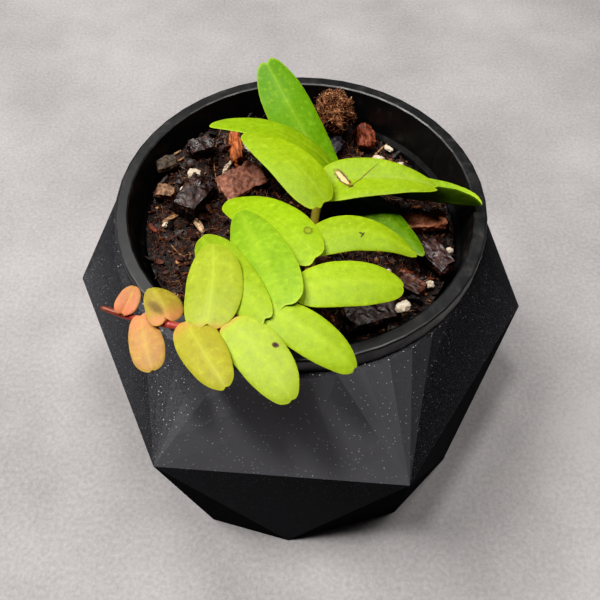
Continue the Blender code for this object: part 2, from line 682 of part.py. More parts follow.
def main():
    clear_scene()
    route = smooth_route([Vector(p) * MM for p in STEM_ROUTE], ROUTE_STEPS)
    make_planter()
    make_nursery_pot()
    soil = make_potting_mix(route)
    make_loose_pieces(soil)
    make_shoot(route, lengths_along(route))


main()
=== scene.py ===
"""The looks of the potted dischidia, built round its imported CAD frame.

Metres, +Z up, in the frame's axes: the origin is the centre of the planter's base, the camera looks
along +Y and down. The planter and the nursery pot are the CAD's own nodes with finished materials.
The shoot, the potting mix and every loose piece on it are replaced by finer pieces in the same places.
"""

import math
import random
from collections import namedtuple

import bmesh
import bpy
import numpy as np
from mathutils import Matrix, Vector, noise


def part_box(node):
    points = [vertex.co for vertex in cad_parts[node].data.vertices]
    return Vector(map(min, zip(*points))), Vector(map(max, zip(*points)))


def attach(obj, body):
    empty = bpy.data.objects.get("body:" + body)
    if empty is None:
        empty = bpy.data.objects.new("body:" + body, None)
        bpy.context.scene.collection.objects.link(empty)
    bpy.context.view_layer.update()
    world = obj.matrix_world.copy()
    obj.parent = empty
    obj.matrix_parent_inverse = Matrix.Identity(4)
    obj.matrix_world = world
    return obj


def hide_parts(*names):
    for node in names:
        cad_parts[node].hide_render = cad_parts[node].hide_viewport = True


MM = 0.001
UP = Vector((0, 0, 1))

# Camera: the photograph's frame is 600 pixels wide.
FRAME_PIXELS = 600
FOCAL_PIXELS = 695.6
SENSOR_WIDTH = 36  # millimetres
CAMERA_ELEVATION = math.radians(56.62)
CAMERA_ROLL = math.radians(0.28)
CAMERA_TARGET = Vector((0.66, -30.9, 98.0)) * MM
CAMERA_DISTANCE = 161.2 * MM

# Light: a small lamp high at the left, a softbox above the left, weaker ones behind and overhead, and a dim
# room. Each lamp is its azimuth and elevation in degrees, its size in metres and its power in watts.
LAMPS = {
    "key": (210, 75, 0.16, 7.5),
    "left": (177, 60, 0.5, 15.5),
    "back": (121, 60, 0.42, 3.2),
    "top": (0, 77, 0.4, 8.0),
}
LAMP_DISTANCE = 1.3
LAMP_COLOUR = (1.0, 0.985, 0.965)
ROOM_COLOUR = (0.93, 0.96, 1.0, 1)
ROOM_LIGHT = 0.02
SHADOW_TOE = 0.022  # how deep the picture's darks are pulled down, in scene light
TOE_LIGHTS = (0.01, 0.02, 0.04, 0.08, 0.16, 0.4)  # the amounts of light at which the toe's curve is set
FLOOR_SIZE = 6.0

# Planter: printed in layers, each a rounded bead. Its facets are painted paler the more they face the sheen
# side, a painted sheen, and darker from the upper slope to the lower one, painted shade; the slopes are
# heights of the facet's unit normal.
PRINT_LAYER = 0.28 * MM
PRINT_BULGE = 0.012 * MM
PLANTER_PAINTED_SHEEN_SIDE = (0.10, -0.93, 0.35)
PLANTER_PAINTED_SHADE_SLOPES = (-0.06, 0.27)

# Nursery pot and mix, as the CAD has them.
POT_CENTRE = Vector((0.8, 0.4, 0)) * MM
POT_TOP = 98.0 * MM
MIX_RADIUS = 41.1 * MM
MIX_FOOT_RADIUS = 30.6 * MM
MIX_FOOT_LEVEL = 12.2 * MM
MIX_LEVEL = 88.0 * MM
MIX_SLOPE = -0.03
MIX_MOUNDS = ((-26.0, 26.0, 14.0, 2.6), (29.0, 26.0, 11.0, -3.4))  # X, Y, spread and rise in millimetres
MIX_LUMPS = ((9.0, 1.3), (4.2, 0.8), (1.9, 0.8), (0.8, 0.45))  # size and height in millimetres
MIX_LAID_LUMPS = 3  # how many of the coarser lumps a fibre or a sliver follows
MIX_RINGS = 110
MIX_STEPS = 330

# What lies on the mix: how many there are, and the least and greatest sizes in millimetres.
CRUMB_COUNT = 5600
CRUMB_SIZES = (0.18, 0.95)
BIT_COUNT = 460
BIT_SIZES = (0.8, 2.4)
FIBRE_COUNT = 1700
FIBRE_LENGTHS = (1.5, 10)
FIBRE_RADII = (0.035, 0.08)
FIBRE_ARCHES = (0.2, 1.8)
FIBRE_STEPS = 9
FIBRE_REACHES = (0.97, 0.985)  # where fibres start and where they stop, as shares of the mix's radius
SLIVER_STEPS = 8
COIR_FIBRE_COUNT = 2600
COIR_FIBRE_LENGTHS = (0.7, 2.2)
COIR_FIBRE_RADII = (0.06, 0.13)
COIR_BARE_FOOT = 2.5 * MM  # no fibres stand out of the clump below this height
PERLITE_COUNT = 11

# Slivers, straws and flakes that lie on the mix: the X and Y of their two ends, their width and thickness in
# millimetres, and their place on the scale of tints, from dark and red through tan to cream.
SLIVERS = (
    (-32.6, 30.0, -30.7, 35.9, 1.5, 0.7, 0.78), (-36.2, 20.4, -33.1, 23.6, 0.8, 0.5, 0.84),
    (-34.3, 18.9, -31.9, 20.8, 0.7, 0.5, 0.72), (-20.5, 14.4, -18.3, 20.5, 1.4, 0.9, 0.96),
    (-16.1, 28.9, -13.9, 24.5, 1.3, 0.8, 1.0), (-35.7, -1.8, -31.2, 0.9, 1.5, 1.0, 0.7),
    (-29.9, 2.0, -24.8, -4.5, 2.0, 0.9, 0.88), (-39.5, -1.5, -37.0, -4.6, 1.5, 0.9, 0.3),
    (-18.0, -8.0, -15.9, -6.3, 2.3, 1.7, 0.16), (16.1, 42.2, 23.4, 43.2, 0.8, 0.5, 0.86),
    (21.3, 27.1, 27.6, 34.6, 0.7, 0.5, 0.84), (39.0, 16.3, 42.5, 20.2, 0.6, 0.4, 0.86),
    (39.7, 15.2, 43.0, 17.5, 0.5, 0.4, 0.8), (37.6, 14.9, 41.7, 13.5, 0.5, 0.4, 0.78),
    (31.4, 14.6, 34.0, 15.7, 1.2, 0.8, 0.34), (36.4, 16.8, 38.0, 18.2, 1.0, 0.7, 0.34),
    (26.3, -14.6, 30.6, -17.7, 1.8, 1.1, 0.42), (-22.6, 33.4, -21.2, 8.5, 0.35, 0.3, 0.66),
    (-38.0, 9.5, -33.4, 12.0, 0.5, 0.4, 0.64), (-28.0, -11.0, -22.0, -9.0, 0.5, 0.4, 0.6),
    (-33.0, -8.0, -27.5, -12.5, 0.45, 0.4, 0.7), (-24.5, -15.0, -20.0, -19.5, 0.5, 0.4, 0.62),
)

# Shoot: the CAD's route for the stem, in millimetres.
STEM_ROUTE = (
    (12.0, 19.0, 72.0), (11.2, 16.0, 82.0), (10.0, 11.5, 91.0), (8.0, 5.0, 98.0), (5.0, -7.0, 104.5),
    (3.6, -19.5, 109.5), (3.0, -30.0, 112.5), (1.0, -39.5, 114.2), (-3.0, -44.0, 115.0),
    (-6.5, -46.8, 114.8), (-12.4, -48.8, 114.4), (-17.9, -47.8, 113.8), (-22.0, -47.5, 113.0),
    (-26.6, -46.0, 111.8), (-31.8, -44.2, 110.4), (-36.2, -42.4, 109.4), (-41.1, -40.8, 109.8),
)
ROUTE_STEPS = 10
STEM_RADIUS = 1.15 * MM
STEM_TIP_RADIUS = 0.6 * MM
STEM_SIDES = 18
COLOUR_CHANGE = 108.9 * MM
STEM_OVERLAP = 0.2 * MM
NODE_SWELLING = 0.22 * MM
NODE_LENGTH = 1.6 * MM

# Leaves, as in the CAD: place along the stem, length and width in millimetres; heading, pitch and roll in
# degrees; bow upwards, as a share of the length; fold along the rib in degrees; sweep to the left, as a share
# of the length; how egg-shaped; and the blade's lift over the stem in millimetres.
Leaf = namedtuple("Leaf", "at length width heading pitch roll bow fold sweep egg lift")
LEAVES = {
    "leaf_01": Leaf(20.5, 40.8, 12.7, 130, 38, -11, 0.04, -10, 0.03, -0.22, 1.0),
    "leaf_02": Leaf(22.2, 38.0, 9.8, -53, 6, -6, 0.06, -8, 0.0, 0.25, 1.0),
    "leaf_03": Leaf(27.6, 38.0, 9.5, 163, 15, 19, 0.14, 2, -0.03, -0.15, 1.6),
    "leaf_04": Leaf(29.6, 42.5, 13.5, -17, 5, -58, 0.0, 20, 0.08, -0.20, 1.0),
    "leaf_05": Leaf(45.5, 29.8, 11.3, 134, 5, 2, 0.08, -4, -0.04, 0.25, 2.0),
    "leaf_06": Leaf(37.0, 30.8, 11.8, -5, 6, 4, 0.06, 9, 0.05, 0.42, 1.2),
    "leaf_07": Leaf(69.4, 33.6, 11.4, 132, -16, -7, 0.04, -4, -0.06, 0.08, 2.0),
    "leaf_08": Leaf(64.9, 25.0, 9.0, -4, -4, 5, 0.08, -6, 0.13, 0.42, 1.2),
    "leaf_09": Leaf(84.0, 33.6, 12.0, 110, -12, -16, 0.03, -3, 0.0, 0.22, 2.0),
    "leaf_10": Leaf(79.2, 23.6, 10.5, 6, -5, 8, 0.05, -6, 0.04, 0.04, 1.2),
    "leaf_11": Leaf(89.2, 32.0, 9.4, 121, -13, -16, 0.03, -6, 0.0, -0.12, 2.0),
    "leaf_12": Leaf(87.7, 21.5, 9.0, -31, -14, 9, 0.05, -5, 0.03, 0.10, 1.2),
    "leaf_13": Leaf(101.1, 20.4, 12.2, 90, 3, -6, 0.04, -12, -0.05, 0.04, 2.0),
    "leaf_14": Leaf(95.8, 20.7, 10.2, -51, -7, 12, 0.05, -5, 0.04, 0.04, 1.2),
    "leaf_15": Leaf(105.1, 18.8, 9.0, -59, 5, 10, 0.05, -12, 0.0, 0.12, 1.2),
    "leaf_16": Leaf(110.5, 9.8, 7.8, 117, -1, 7, 0.03, -15, -0.09, 0.18, 1.6),
    "leaf_17": Leaf(116.4, 13.5, 7.0, -73, -5, 4, 0.04, -8, 0.0, -0.18, 1.0),
    "leaf_18": Leaf(121.0, 7.0, 5.1, 71, 10, 1, 0.0, 14, -0.04, 0.10, 1.2),
}
YOUNG_LEAVES = ("leaf_16", "leaf_17", "leaf_18")
# For each leaf the colours of its blade, tip and base, the strength of its rib (paler above 0, darker below),
# the depths of the dent at its tip (notch) and at its base (cleft) as a share of half the length, and how far
# the pink spreads from its base.
Look = namedtuple("Look", "blade tip base rib notch cleft blush")
LEAF_LOOKS = {
    "leaf_01": Look((106, 158, 2), (88, 142, 2), (112, 162, 4), 0.35, 0.05, 0.04, 0.0),
    # leaf_02's colours are darker than the others': painted shade, as it lies under leaf_06.
    "leaf_02": Look((80, 120, 2), (88, 128, 4), (74, 112, 2), -0.15, 0.0, 0.04, 0.0),
    "leaf_03": Look((128, 160, 6), (134, 166, 8), (116, 148, 6), -0.30, 0.0, 0.04, 0.0),
    "leaf_04": Look((118, 154, 12), (148, 178, 30), (94, 126, 8), -0.20, 0.0, 0.05, 0.0),
    "leaf_05": Look((138, 166, 6), (134, 162, 8), (132, 160, 8), -0.25, 0.0, 0.04, 0.0),
    "leaf_06": Look((136, 164, 8), (130, 158, 10), (138, 166, 14), -0.20, 0.06, 0.04, 0.0),
    "leaf_07": Look((138, 170, 6), (136, 168, 6), (142, 172, 20), -0.20, 0.01, 0.03, 0.0),
    "leaf_08": Look((136, 164, 6), (130, 156, 12), (140, 168, 8), 0.10, 0.02, 0.04, 0.0),
    "leaf_09": Look((130, 166, 24), (114, 152, 16), (140, 172, 32), 0.10, 0.01, 0.04, 0.0),
    "leaf_10": Look((146, 174, 20), (140, 168, 18), (150, 176, 26), 0.12, 0.03, 0.04, 0.0),
    "leaf_11": Look((138, 164, 22), (122, 150, 14), (146, 170, 28), 0.10, 0.02, 0.05, 0.0),
    "leaf_12": Look((152, 178, 30), (146, 174, 28), (156, 182, 38), 0.12, 0.03, 0.04, 0.0),
    "leaf_13": Look((154, 168, 40), (148, 164, 36), (168, 176, 62), 0.30, 0.0, 0.12, 0.06),
    "leaf_14": Look((156, 176, 46), (146, 166, 36), (160, 178, 54), 0.15, 0.03, 0.04, 0.04),
    "leaf_15": Look((162, 156, 42), (152, 150, 34), (176, 162, 60), 0.30, 0.03, 0.08, 0.18),
    "leaf_16": Look((158, 138, 48), (150, 138, 42), (178, 134, 72), 0.10, 0.05, 0.16, 0.5),
    "leaf_17": Look((182, 134, 76), (174, 134, 66), (188, 134, 90), 0.20, 0.05, 0.10, 0.4),
    "leaf_18": Look((182, 118, 78), (184, 124, 82), (172, 90, 58), 0.15, 0.02, 0.10, 0.7),
}
# Scars and spots, and on leaf_16 a painted shadow: millimetres from the leaf's base and to its left, half
# length and half width, turn in degrees, blur and colour.
LEAF_MARKS_AND_SHADOW = {
    "leaf_06": (
        (7.4, 0.7, 3.7, 0.95, -54, 0.25, (84, 42, 14)),
        (7.2, 0.9, 3.0, 0.55, -54, 0.25, (214, 184, 128)),
        (12.6, 0.7, 4.4, 0.14, 45, 0.6, (84, 46, 14)),
        (9.6, -2.4, 0.6, 0.35, 20, 0.5, (70, 34, 10)),
    ),
    "leaf_07": (
        (7.1, -3.0, 1.15, 1.0, 20, 0.3, (96, 104, 8)),
        (7.1, -3.0, 0.75, 0.65, 20, 0.3, (132, 150, 26)),
    ),
    "leaf_08": (
        (12.5, -0.9, 0.75, 0.2, 60, 0.4, (60, 52, 8)),
        (12.1, -0.5, 0.2, 0.45, 60, 0.4, (60, 52, 8)),
    ),
    "leaf_14": (
        (10.3, 3.4, 0.7, 0.55, 30, 0.3, (74, 38, 10)),
        (10.3, 3.4, 0.3, 0.25, 30, 0.3, (30, 12, 4)),
    ),
    # leaf_16's mark is a painted shadow, as if cast by leaf_18.
    "leaf_16": ((4.2, 1.7, 2.2, 0.9, 22, 0.6, (112, 88, 28)),),
}
# Leaves whose two halves stand at different angles: degrees to the left of the rib and to its right.
LEAF_FOLDS = {"leaf_04": (62, 22)}
LEAF_STEPS = 44
LEAF_TIP_BLUNTNESS = 2.1
LEAF_BASE_BLUNTNESS = 2.5
LEAF_NOTCH_SPREAD = 0.10  # half width of the dent at the tip, as an angle round the leaf's middle
LEAF_CLEFT_SPREAD = 0.17
LEAF_EDGE_WAVE = 0.012  # how uneven the outline is, as a share of its reach
LEAF_EDGE_RIPPLE = 0.004
LEAF_LOBE = 0.08  # how far the blade reaches back past its stalk, as a share of its length
LEAF_THICKNESS = (0.75 * MM, 0.35 * MM)  # at the rim's shoulder, and what the middle adds
LEAF_RIM_ROUNDING = 7
LEAF_WAVES = ((8 * MM, 0.3 * MM), (2.2 * MM, 0.08 * MM))  # size and height of the broad and the fine ones
RIB_DEPTH = 0.12 * MM
RIB_WIDTH = 0.5 * MM
STALK_RADIUS = 0.7 * MM
STALK_THINNING = 0.8
YOUNG_STALK_THINNING = 0.62
STALK_REACH = 0.03  # how far along the blade the stalk ends, as a share of its length
STALK_SINK = 0.15 * MM
STALK_SAG = 0.3 * MM
STALK_END = 0.7 * MM
STALK_STEPS = 4
STALK_SIDES = 10

# Bark: its dark, middle and pale colours, how streaky it is, and how rough where it is wet.
Bark = namedtuple("Bark", "dark middle pale streak wetness")
BARKS = {
    "orange": Bark((70, 30, 14), (166, 84, 36), (204, 126, 66), 0.9, 0.6),
    "rose": Bark((78, 42, 30), (136, 84, 64), (166, 114, 90), 0.15, 0.6),
    # Its own salmon tone, lightened: painted light, where leaf_04's shadow falls on the chip.
    "salmon_painted_light": Bark((108, 60, 42), (196, 124, 92), (226, 164, 128), 0.3, 0.6),
    "dark": Bark((8, 5, 5), (38, 23, 20), (88, 60, 50), 0.2, 0.3),
    "plum": Bark((12, 7, 8), (46, 24, 22), (98, 62, 54), 0.4, 0.28),
    "slate": Bark((14, 13, 15), (46, 42, 48), (92, 88, 96), 0.3, 0.35),
    "tan": Bark((58, 40, 28), (128, 92, 66), (166, 130, 98), 0.1, 0.7),
    # Its own olive brown, darkened further: painted shade, as the chip lies in shadow.
    "olive_painted_shade": Bark((24, 18, 12), (58, 44, 30), (92, 74, 52), 0.2, 0.6),
    "red": Bark((44, 18, 10), (120, 58, 36), (164, 92, 62), 0.6, 0.4),
    "rust": Bark((20, 10, 8), (70, 36, 24), (128, 74, 46), 0.5, 0.4),
}
BARK_CHIPS = {
    "bark_chip_01": "orange", "bark_chip_02": "rose", "bark_chip_03": "dark", "bark_chip_04": "tan",
    "bark_chip_05": "olive_painted_shade", "bark_chip_06": "red", "bark_chip_07": "salmon_painted_light", "bark_chip_08": "plum",
    "bark_chip_09": "rust", "bark_chip_10": "dark", "bark_chip_11": "slate", "bark_chip_12": "dark",
}


def rgb(red, green, blue):
    """A display colour from 0 to 255 as the linear colour that shaders take."""
    shares = [channel / 255 for channel in (red, green, blue)]
    linear = [s / 12.92 if s <= 0.04045 else ((s + 0.055) / 1.055) ** 2.4 for s in shares]
    return (*linear, 1.0)


# ---------------------------------------------------------------- pieces and materials


def piece(name, mesh, finish, node, replaces=True):
    """Puts a mesh with its material in the scene as a piece of the object; hides the CAD node that it
    replaces.
    """
    obj = bpy.data.objects.new(name, mesh)
    bpy.context.scene.collection.objects.link(obj)
    mesh.materials.append(finish)
    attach(obj, "root")
    if replaces:
        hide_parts(node)


def mesh_from(name, points, faces, smooth=True, **values):
    """A mesh from arrays. Each keyword names an attribute, with one number for each point."""
    mesh = bpy.data.meshes.new(name)
    mesh.from_pydata([tuple(p) for p in points], [], [tuple(f) for f in faces])
    if smooth:
        mesh.shade_smooth()
    for key, numbers in values.items():
        layer = mesh.attributes.new(key, "FLOAT", "POINT")
        layer.data.foreach_set("value", np.ascontiguousarray(numbers, dtype=np.float32))
    return mesh


class Graph:
    """A material's nodes, with short calls for the ones used here. Scales are in features to the metre."""

    def __init__(self, name, roughness, **sockets):
        self.material = bpy.data.materials.new(name)
        self.material.use_nodes = True
        self.tree = self.material.node_tree
        self.shader = self.tree.nodes["Principled BSDF"]
        self.shader.inputs["Roughness"].default_value = roughness
        for key, value in sockets.items():
            self.shader.inputs[key.replace("_", " ")].default_value = value

    def node(self, kind, **settings):
        made = self.tree.nodes.new(f"ShaderNode{kind}")
        for key, value in settings.items():
            setattr(made, key, value)
        return made

    def put(self, socket, value):
        if isinstance(value, bpy.types.NodeSocket):
            self.tree.links.new(value, socket)
        else:
            socket.default_value = value

    def place(self, scale=(1, 1, 1)):
        """The place in the object's own axes, stretched."""
        coordinates = self.node("TexCoord").outputs["Object"]
        mapping = self.node("Mapping")
        self.put(mapping.inputs["Vector"], coordinates)
        self.put(mapping.inputs["Scale"], scale)
        return mapping.outputs["Vector"]

    def attribute(self, name):
        return self.node("Attribute", attribute_name=name).outputs["Fac"]

    def height_of(self, vector):
        parts = self.node("SeparateXYZ")
        self.put(parts.inputs[0], vector)
        return parts.outputs["Z"]

    def noise(self, vector, scale, detail=3.0, roughness=0.55, distortion=0.0):
        made = self.node("TexNoise")
        self.put(made.inputs["Vector"], vector)
        self.put(made.inputs["Scale"], scale)
        self.put(made.inputs["Detail"], detail)
        self.put(made.inputs["Roughness"], roughness)
        self.put(made.inputs["Distortion"], distortion)
        return made.outputs["Fac"]

    def cells(self, vector, scale):
        """How far it is to the nearest of the points strewn through space, in cells."""
        made = self.node("TexVoronoi")
        self.put(made.inputs["Vector"], vector)
        self.put(made.inputs["Scale"], scale)
        return made.outputs["Distance"]

    def math(self, operation, a, b=0.0):
        made = self.node("Math", operation=operation)
        self.put(made.inputs[0], a)
        self.put(made.inputs[1], b)
        return made.outputs[0]

    def span(self, value, low, high, out_low=0.0, out_high=1.0):
        """Maps low..high smoothly to out_low..out_high."""
        made = self.node("MapRange", interpolation_type="SMOOTHSTEP")
        for index, number in enumerate((value, low, high, out_low, out_high)):
            self.put(made.inputs[index], number)
        return made.outputs[0]

    def blend(self, a, b, share):
        """Two numbers mixed, with the given share of the first."""
        return self.math("ADD", self.math("MULTIPLY", a, share), self.math("MULTIPLY", b, 1 - share))

    def mix(self, factor, a, b):
        """Two colours mixed, with the factor as the share of the second."""
        made = self.node("Mix", data_type="RGBA")
        colour_a, colour_b, result = 6, 7, 2
        self.put(made.inputs["Factor"], factor)
        self.put(made.inputs[colour_a], a)
        self.put(made.inputs[colour_b], b)
        return made.outputs[result]

    def ramp(self, factor, stops):
        """A colour by its place among stops, each a position and a display colour."""
        made = self.node("ValToRGB")
        self.put(made.inputs["Fac"], factor)
        elements = made.color_ramp.elements
        while len(elements) < len(stops):
            elements.new(0.5)
        for element, (position, colour) in zip(elements, stops):
            element.position = position
            element.color = rgb(*colour)
        return made.outputs["Color"]

    def bump(self, height, strength, distance, under=None):
        made = self.node("Bump")
        self.put(made.inputs["Height"], height)
        self.put(made.inputs["Strength"], strength)
        self.put(made.inputs["Distance"], distance)
        if under is not None:
            self.put(made.inputs["Normal"], under)
        return made.outputs["Normal"]

    def finish(self, colour=None, roughness=None, normal=None):
        for key, value in (("Base Color", colour), ("Roughness", roughness), ("Normal", normal)):
            if value is not None:
                self.put(self.shader.inputs[key], value)
        return self.material


# ---------------------------------------------------------------- stage


def make_camera():
    """The camera, at the photograph's angle, turned a little about its own axis."""
    back = Vector((0, -math.cos(CAMERA_ELEVATION), math.sin(CAMERA_ELEVATION)))
    level = Vector((1, 0, 0))
    top = level.cross(-back)
    right = level * math.cos(CAMERA_ROLL) + top * math.sin(CAMERA_ROLL)
    top = top * math.cos(CAMERA_ROLL) - level * math.sin(CAMERA_ROLL)
    camera = bpy.data.objects.new("camera", bpy.data.cameras.new("camera"))
    bpy.context.scene.collection.objects.link(camera)
    camera.data.sensor_width = SENSOR_WIDTH
    camera.data.lens = SENSOR_WIDTH * FOCAL_PIXELS / FRAME_PIXELS
    camera.data.clip_start = MM
    turn = Matrix((right, top, back)).transposed().to_4x4()
    turn.translation = CAMERA_TARGET + back * CAMERA_DISTANCE
    camera.matrix_world = turn
    bpy.context.scene.camera = camera


def make_lamp(name, azimuth, elevation, size, power):
    """A round lamp that shines on the pot's mouth from the given direction."""
    lamp = bpy.data.objects.new(name, bpy.data.lights.new(name, "AREA"))
    lamp.data.shape = "DISK"
    lamp.data.size = size
    lamp.data.energy = power
    lamp.data.color = LAMP_COLOUR
    turn, rise = math.radians(azimuth), math.radians(elevation)
    flat = math.cos(rise)
    out = Vector((math.cos(turn) * flat, math.sin(turn) * flat, math.sin(rise)))
    lamp.location = out * LAMP_DISTANCE + Vector((0, 0, POT_TOP))
    lamp.rotation_euler = out.to_track_quat("Z", "Y").to_euler()
    bpy.context.scene.collection.objects.link(lamp)


def make_light():
    for name, settings in LAMPS.items():
        make_lamp(name, *settings)
    world = bpy.data.worlds.new("room")
    world.use_nodes = True
    background = world.node_tree.nodes["Background"]
    background.inputs["Color"].default_value = ROOM_COLOUR
    background.inputs["Strength"].default_value = ROOM_LIGHT
    bpy.context.scene.world = world


def make_tone():
    """The picture's tone: plain, with a photographic toe that deepens the darks."""
    view = bpy.context.scene.view_settings
    view.view_transform = "Standard"
    view.use_curve_mapping = True
    curve = view.curve_mapping.curves[-1]
    for light in TOE_LIGHTS:
        curve.points.new(light, light * light / (light + SHADOW_TOE))
    view.curve_mapping.update()


def make_floor():
    """A plain pale slab, faintly cloudy and grainy."""
    graph = Graph("floor", 0.8)
    place = graph.place()
    broad = graph.noise(place, 14, 3, 0.6)
    fine = graph.noise(place, 700, 5, 0.7)
    colour = graph.ramp(graph.blend(broad, fine, 0.5), ((0.36, (142, 139, 139)), (0.62, (174, 170, 170))))
    half = FLOOR_SIZE / 2
    corners = ((-half, -half, 0), (half, -half, 0), (half, half, 0), (-half, half, 0))
    mesh = mesh_from("floor", corners, [(0, 1, 2, 3)], smooth=False)
    mesh.materials.append(graph.finish(colour))
    floor = bpy.data.objects.new("floor", mesh)
    bpy.context.scene.collection.objects.link(floor)


# ---------------------------------------------------------------- pots


def planter_material():
    """Dark printed plastic: ridged by its layers, which smear its sheen upright, grainy, with painted glints.
    """
    graph = Graph(
        "planter_charcoal", 0.5, Metallic=0.8, Specular_IOR_Level=0.2, Specular_Tint=(0.25, 0.25, 0.25, 1),
        Anisotropic=0.85, Anisotropic_Rotation=0.25,
    )
    layered = graph.node("Tangent", direction_type="RADIAL", axis="Z")
    graph.put(graph.shader.inputs["Tangent"], layered.outputs["Tangent"])
    place = graph.place()
    grain = graph.noise(place, 2600, 2)
    colour = graph.ramp(grain, ((0.34, (48, 48, 50)), (0.66, (86, 86, 90))))
    # Painted sheen: facets that face PLANTER_PAINTED_SHEEN_SIDE are painted paler, standing in for a
    # highlight.
    facet = graph.node("NewGeometry").outputs["True Normal"]
    facing = graph.node("VectorMath", operation="DOT_PRODUCT")
    graph.put(facing.inputs[0], facet)
    graph.put(facing.inputs[1], PLANTER_PAINTED_SHEEN_SIDE)
    pale = graph.span(facing.outputs["Value"], 0.78, 0.99, 0.0, 0.7)
    colour = graph.mix(pale, colour, rgb(122, 122, 126))
    # Painted glints: scattered pale flecks standing in for sparkles of light.
    glint = graph.span(graph.cells(place, 900), 0.08, 0.15, 1.0, 0.0)
    lucky = graph.span(graph.noise(place, 900, 1), 0.32, 0.5)
    colour = graph.mix(graph.math("MULTIPLY", glint, lucky), colour, rgb(224, 224, 228))
    # Painted shade: the lower, downward-facing slopes are painted near black.
    colour = graph.mix(graph.span(graph.height_of(facet), *PLANTER_PAINTED_SHADE_SLOPES), rgb(34, 34, 36), colour)
    layer = graph.math("FRACT", graph.math("MULTIPLY", graph.height_of(place), 1 / PRINT_LAYER))
    across = graph.math("SUBTRACT", graph.math("MULTIPLY", layer, 2.0), 1.0)
    bulge = graph.math("SUBTRACT", 1.0, graph.math("MULTIPLY", across, across))
    printed = graph.bump(bulge, 1.0, PRINT_BULGE)
    rough = graph.span(grain, 0.3, 0.7, 0.5, 0.6)
    return graph.finish(colour, rough, graph.bump(grain, 0.1, 0.02 * MM, printed))


def pot_material():
    """Thin black moulded plastic, a little dusty."""
    graph = Graph("nursery_pot_black", 0.4)
    place = graph.place()
    dust = graph.noise(place, 260, 5, 0.65)
    streaks = graph.noise(graph.place((60, 60, 9)), 8, 3)
    haze = graph.math("MULTIPLY", graph.span(dust, 0.5, 0.75), graph.span(streaks, 0.4, 0.7))
    colour = graph.mix(haze, rgb(27, 27, 28), rgb(60, 56, 52))
    rough = graph.span(dust, 0.3, 0.7, 0.32, 0.5)
    return graph.finish(colour, rough, graph.bump(graph.noise(place, 1500, 2), 0.15, 0.05 * MM))


def dress(node, finish):
    """Gives a CAD node that stays its finished material."""
    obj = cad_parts[node]
    obj.data.materials.clear()
    obj.data.materials.append(finish)


# ---------------------------------------------------------------- shoot


def smooth_route(points, steps):
    """Catmull-Rom curve through the points, with the given number of stations between two of them."""
    ends = [points[0] * 2 - points[1], *points, points[-1] * 2 - points[-2]]
    stations = []
    for p0, p1, p2, p3 in zip(ends, ends[1:], ends[2:], ends[3:]):
        for k in range(steps):
            t = k / steps
            cubic = (p1 * 3 - p0 - p2 * 3 + p3) * t**3
            stations.append((p1 * 2 + (p2 - p0) * t + (p0 * 2 - p1 * 5 + p2 * 4 - p3) * t**2 + cubic) / 2)
    return [*stations, points[-1]]


def lengths_along(route):
    """How far along the route each of its stations is."""
    total, lengths = 0.0, [0.0]
    for here, after in zip(route, route[1:]):
        total += (after - here).length
        lengths.append(total)
    return lengths


def point_along(route, lengths, distance):
    """The place on the route at a distance from its start."""
    for i in range(len(route) - 1):
        if distance <= lengths[i + 1]:
            break
    return route[i].lerp(route[i + 1], (distance - lengths[i]) / (lengths[i + 1] - lengths[i]))


def sweep(points, radii, sides):
    """A closed tube round a line of points: its vertices, its faces and each vertex's station."""
    vertices, faces, stations = [], [], []
    side = (points[1] - points[0]).orthogonal().normalized()
    for k, (point, radius) in enumerate(zip(points, radii)):
        ahead = (points[min(k + 1, len(points) - 1)] - points[max(k - 1, 0)]).normalized()
        side = (side - ahead * side.dot(ahead)).normalized()
        other = ahead.cross(side)
        for j in range(sides):
            angle = j * math.tau / sides
            vertices.append(point + (side * math.cos(angle) + other * math.sin(angle)) * radius)
            stations.append(k)
    for k in range(len(points) - 1):
        for j in range(sides):
            here, after = k * sides + j, k * sides + (j + 1) % sides
            faces.append((here, after, after + sides, here + sides))
    faces.append(tuple(range(sides))[::-1])
    last = (len(points) - 1) * sides
    faces.append(tuple(range(last, last + sides)))
    return vertices, faces, stations


def join(parts):
    """Several meshes as one, each given as its vertices, its faces and a number for each vertex."""
    vertices, faces, values = [], [], []
    for some, sides, numbers in parts:
        first = len(vertices)
        vertices.extend(some)
        faces.extend(tuple(i + first for i in face) for face in sides)
        values.extend(numbers)
    return vertices, faces, values


def disc_grid(steps):
    """A square grid mapped to the unit disc, finer towards its rim, with its quads and its rim marked."""
    line = np.sin(np.linspace(-1, 1, steps + 1) * math.pi / 2)
    s, t = np.meshgrid(line, line, indexing="ij")
    x, y = s * np.sqrt(1 - t * t / 2), t * np.sqrt(1 - s * s / 2)
    index = np.arange((steps + 1) ** 2).reshape(steps + 1, steps + 1)
    corners = [index[:-1, :-1], index[1:, :-1], index[1:, 1:], index[:-1, 1:]]
    quads = np.stack(corners, axis=-1).reshape(-1, 4)
    rim = np.zeros((steps + 1, steps + 1), bool)
    rim[[0, -1], :] = True
    rim[:, [0, -1]] = True
    return x.ravel(), y.ravel(), quads, rim.ravel()


def leaf_axes(heading, pitch, roll):
    """Unit vectors along the leaf, across it to its left, and out of its upper face."""
    h, p, r = (math.radians(a) for a in (heading, pitch, roll))
    along = Vector((math.cos(h) * math.cos(p), math.sin(h) * math.cos(p), math.sin(p)))
    across = Vector((-math.sin(h), math.cos(h), 0))
    out = along.cross(across)
    return along, across * math.cos(r) + out * math.sin(r), out * math.cos(r) - across * math.sin(r)


def noise_at(points, size, seed):
    """Smooth noise at each point, above and below 0, with lumps of the given size."""
    shift = Vector((seed * 1.7, seed * 0.9, seed * 2.3))
    return np.array([noise.noise(Vector(p) / size + shift) for p in points])


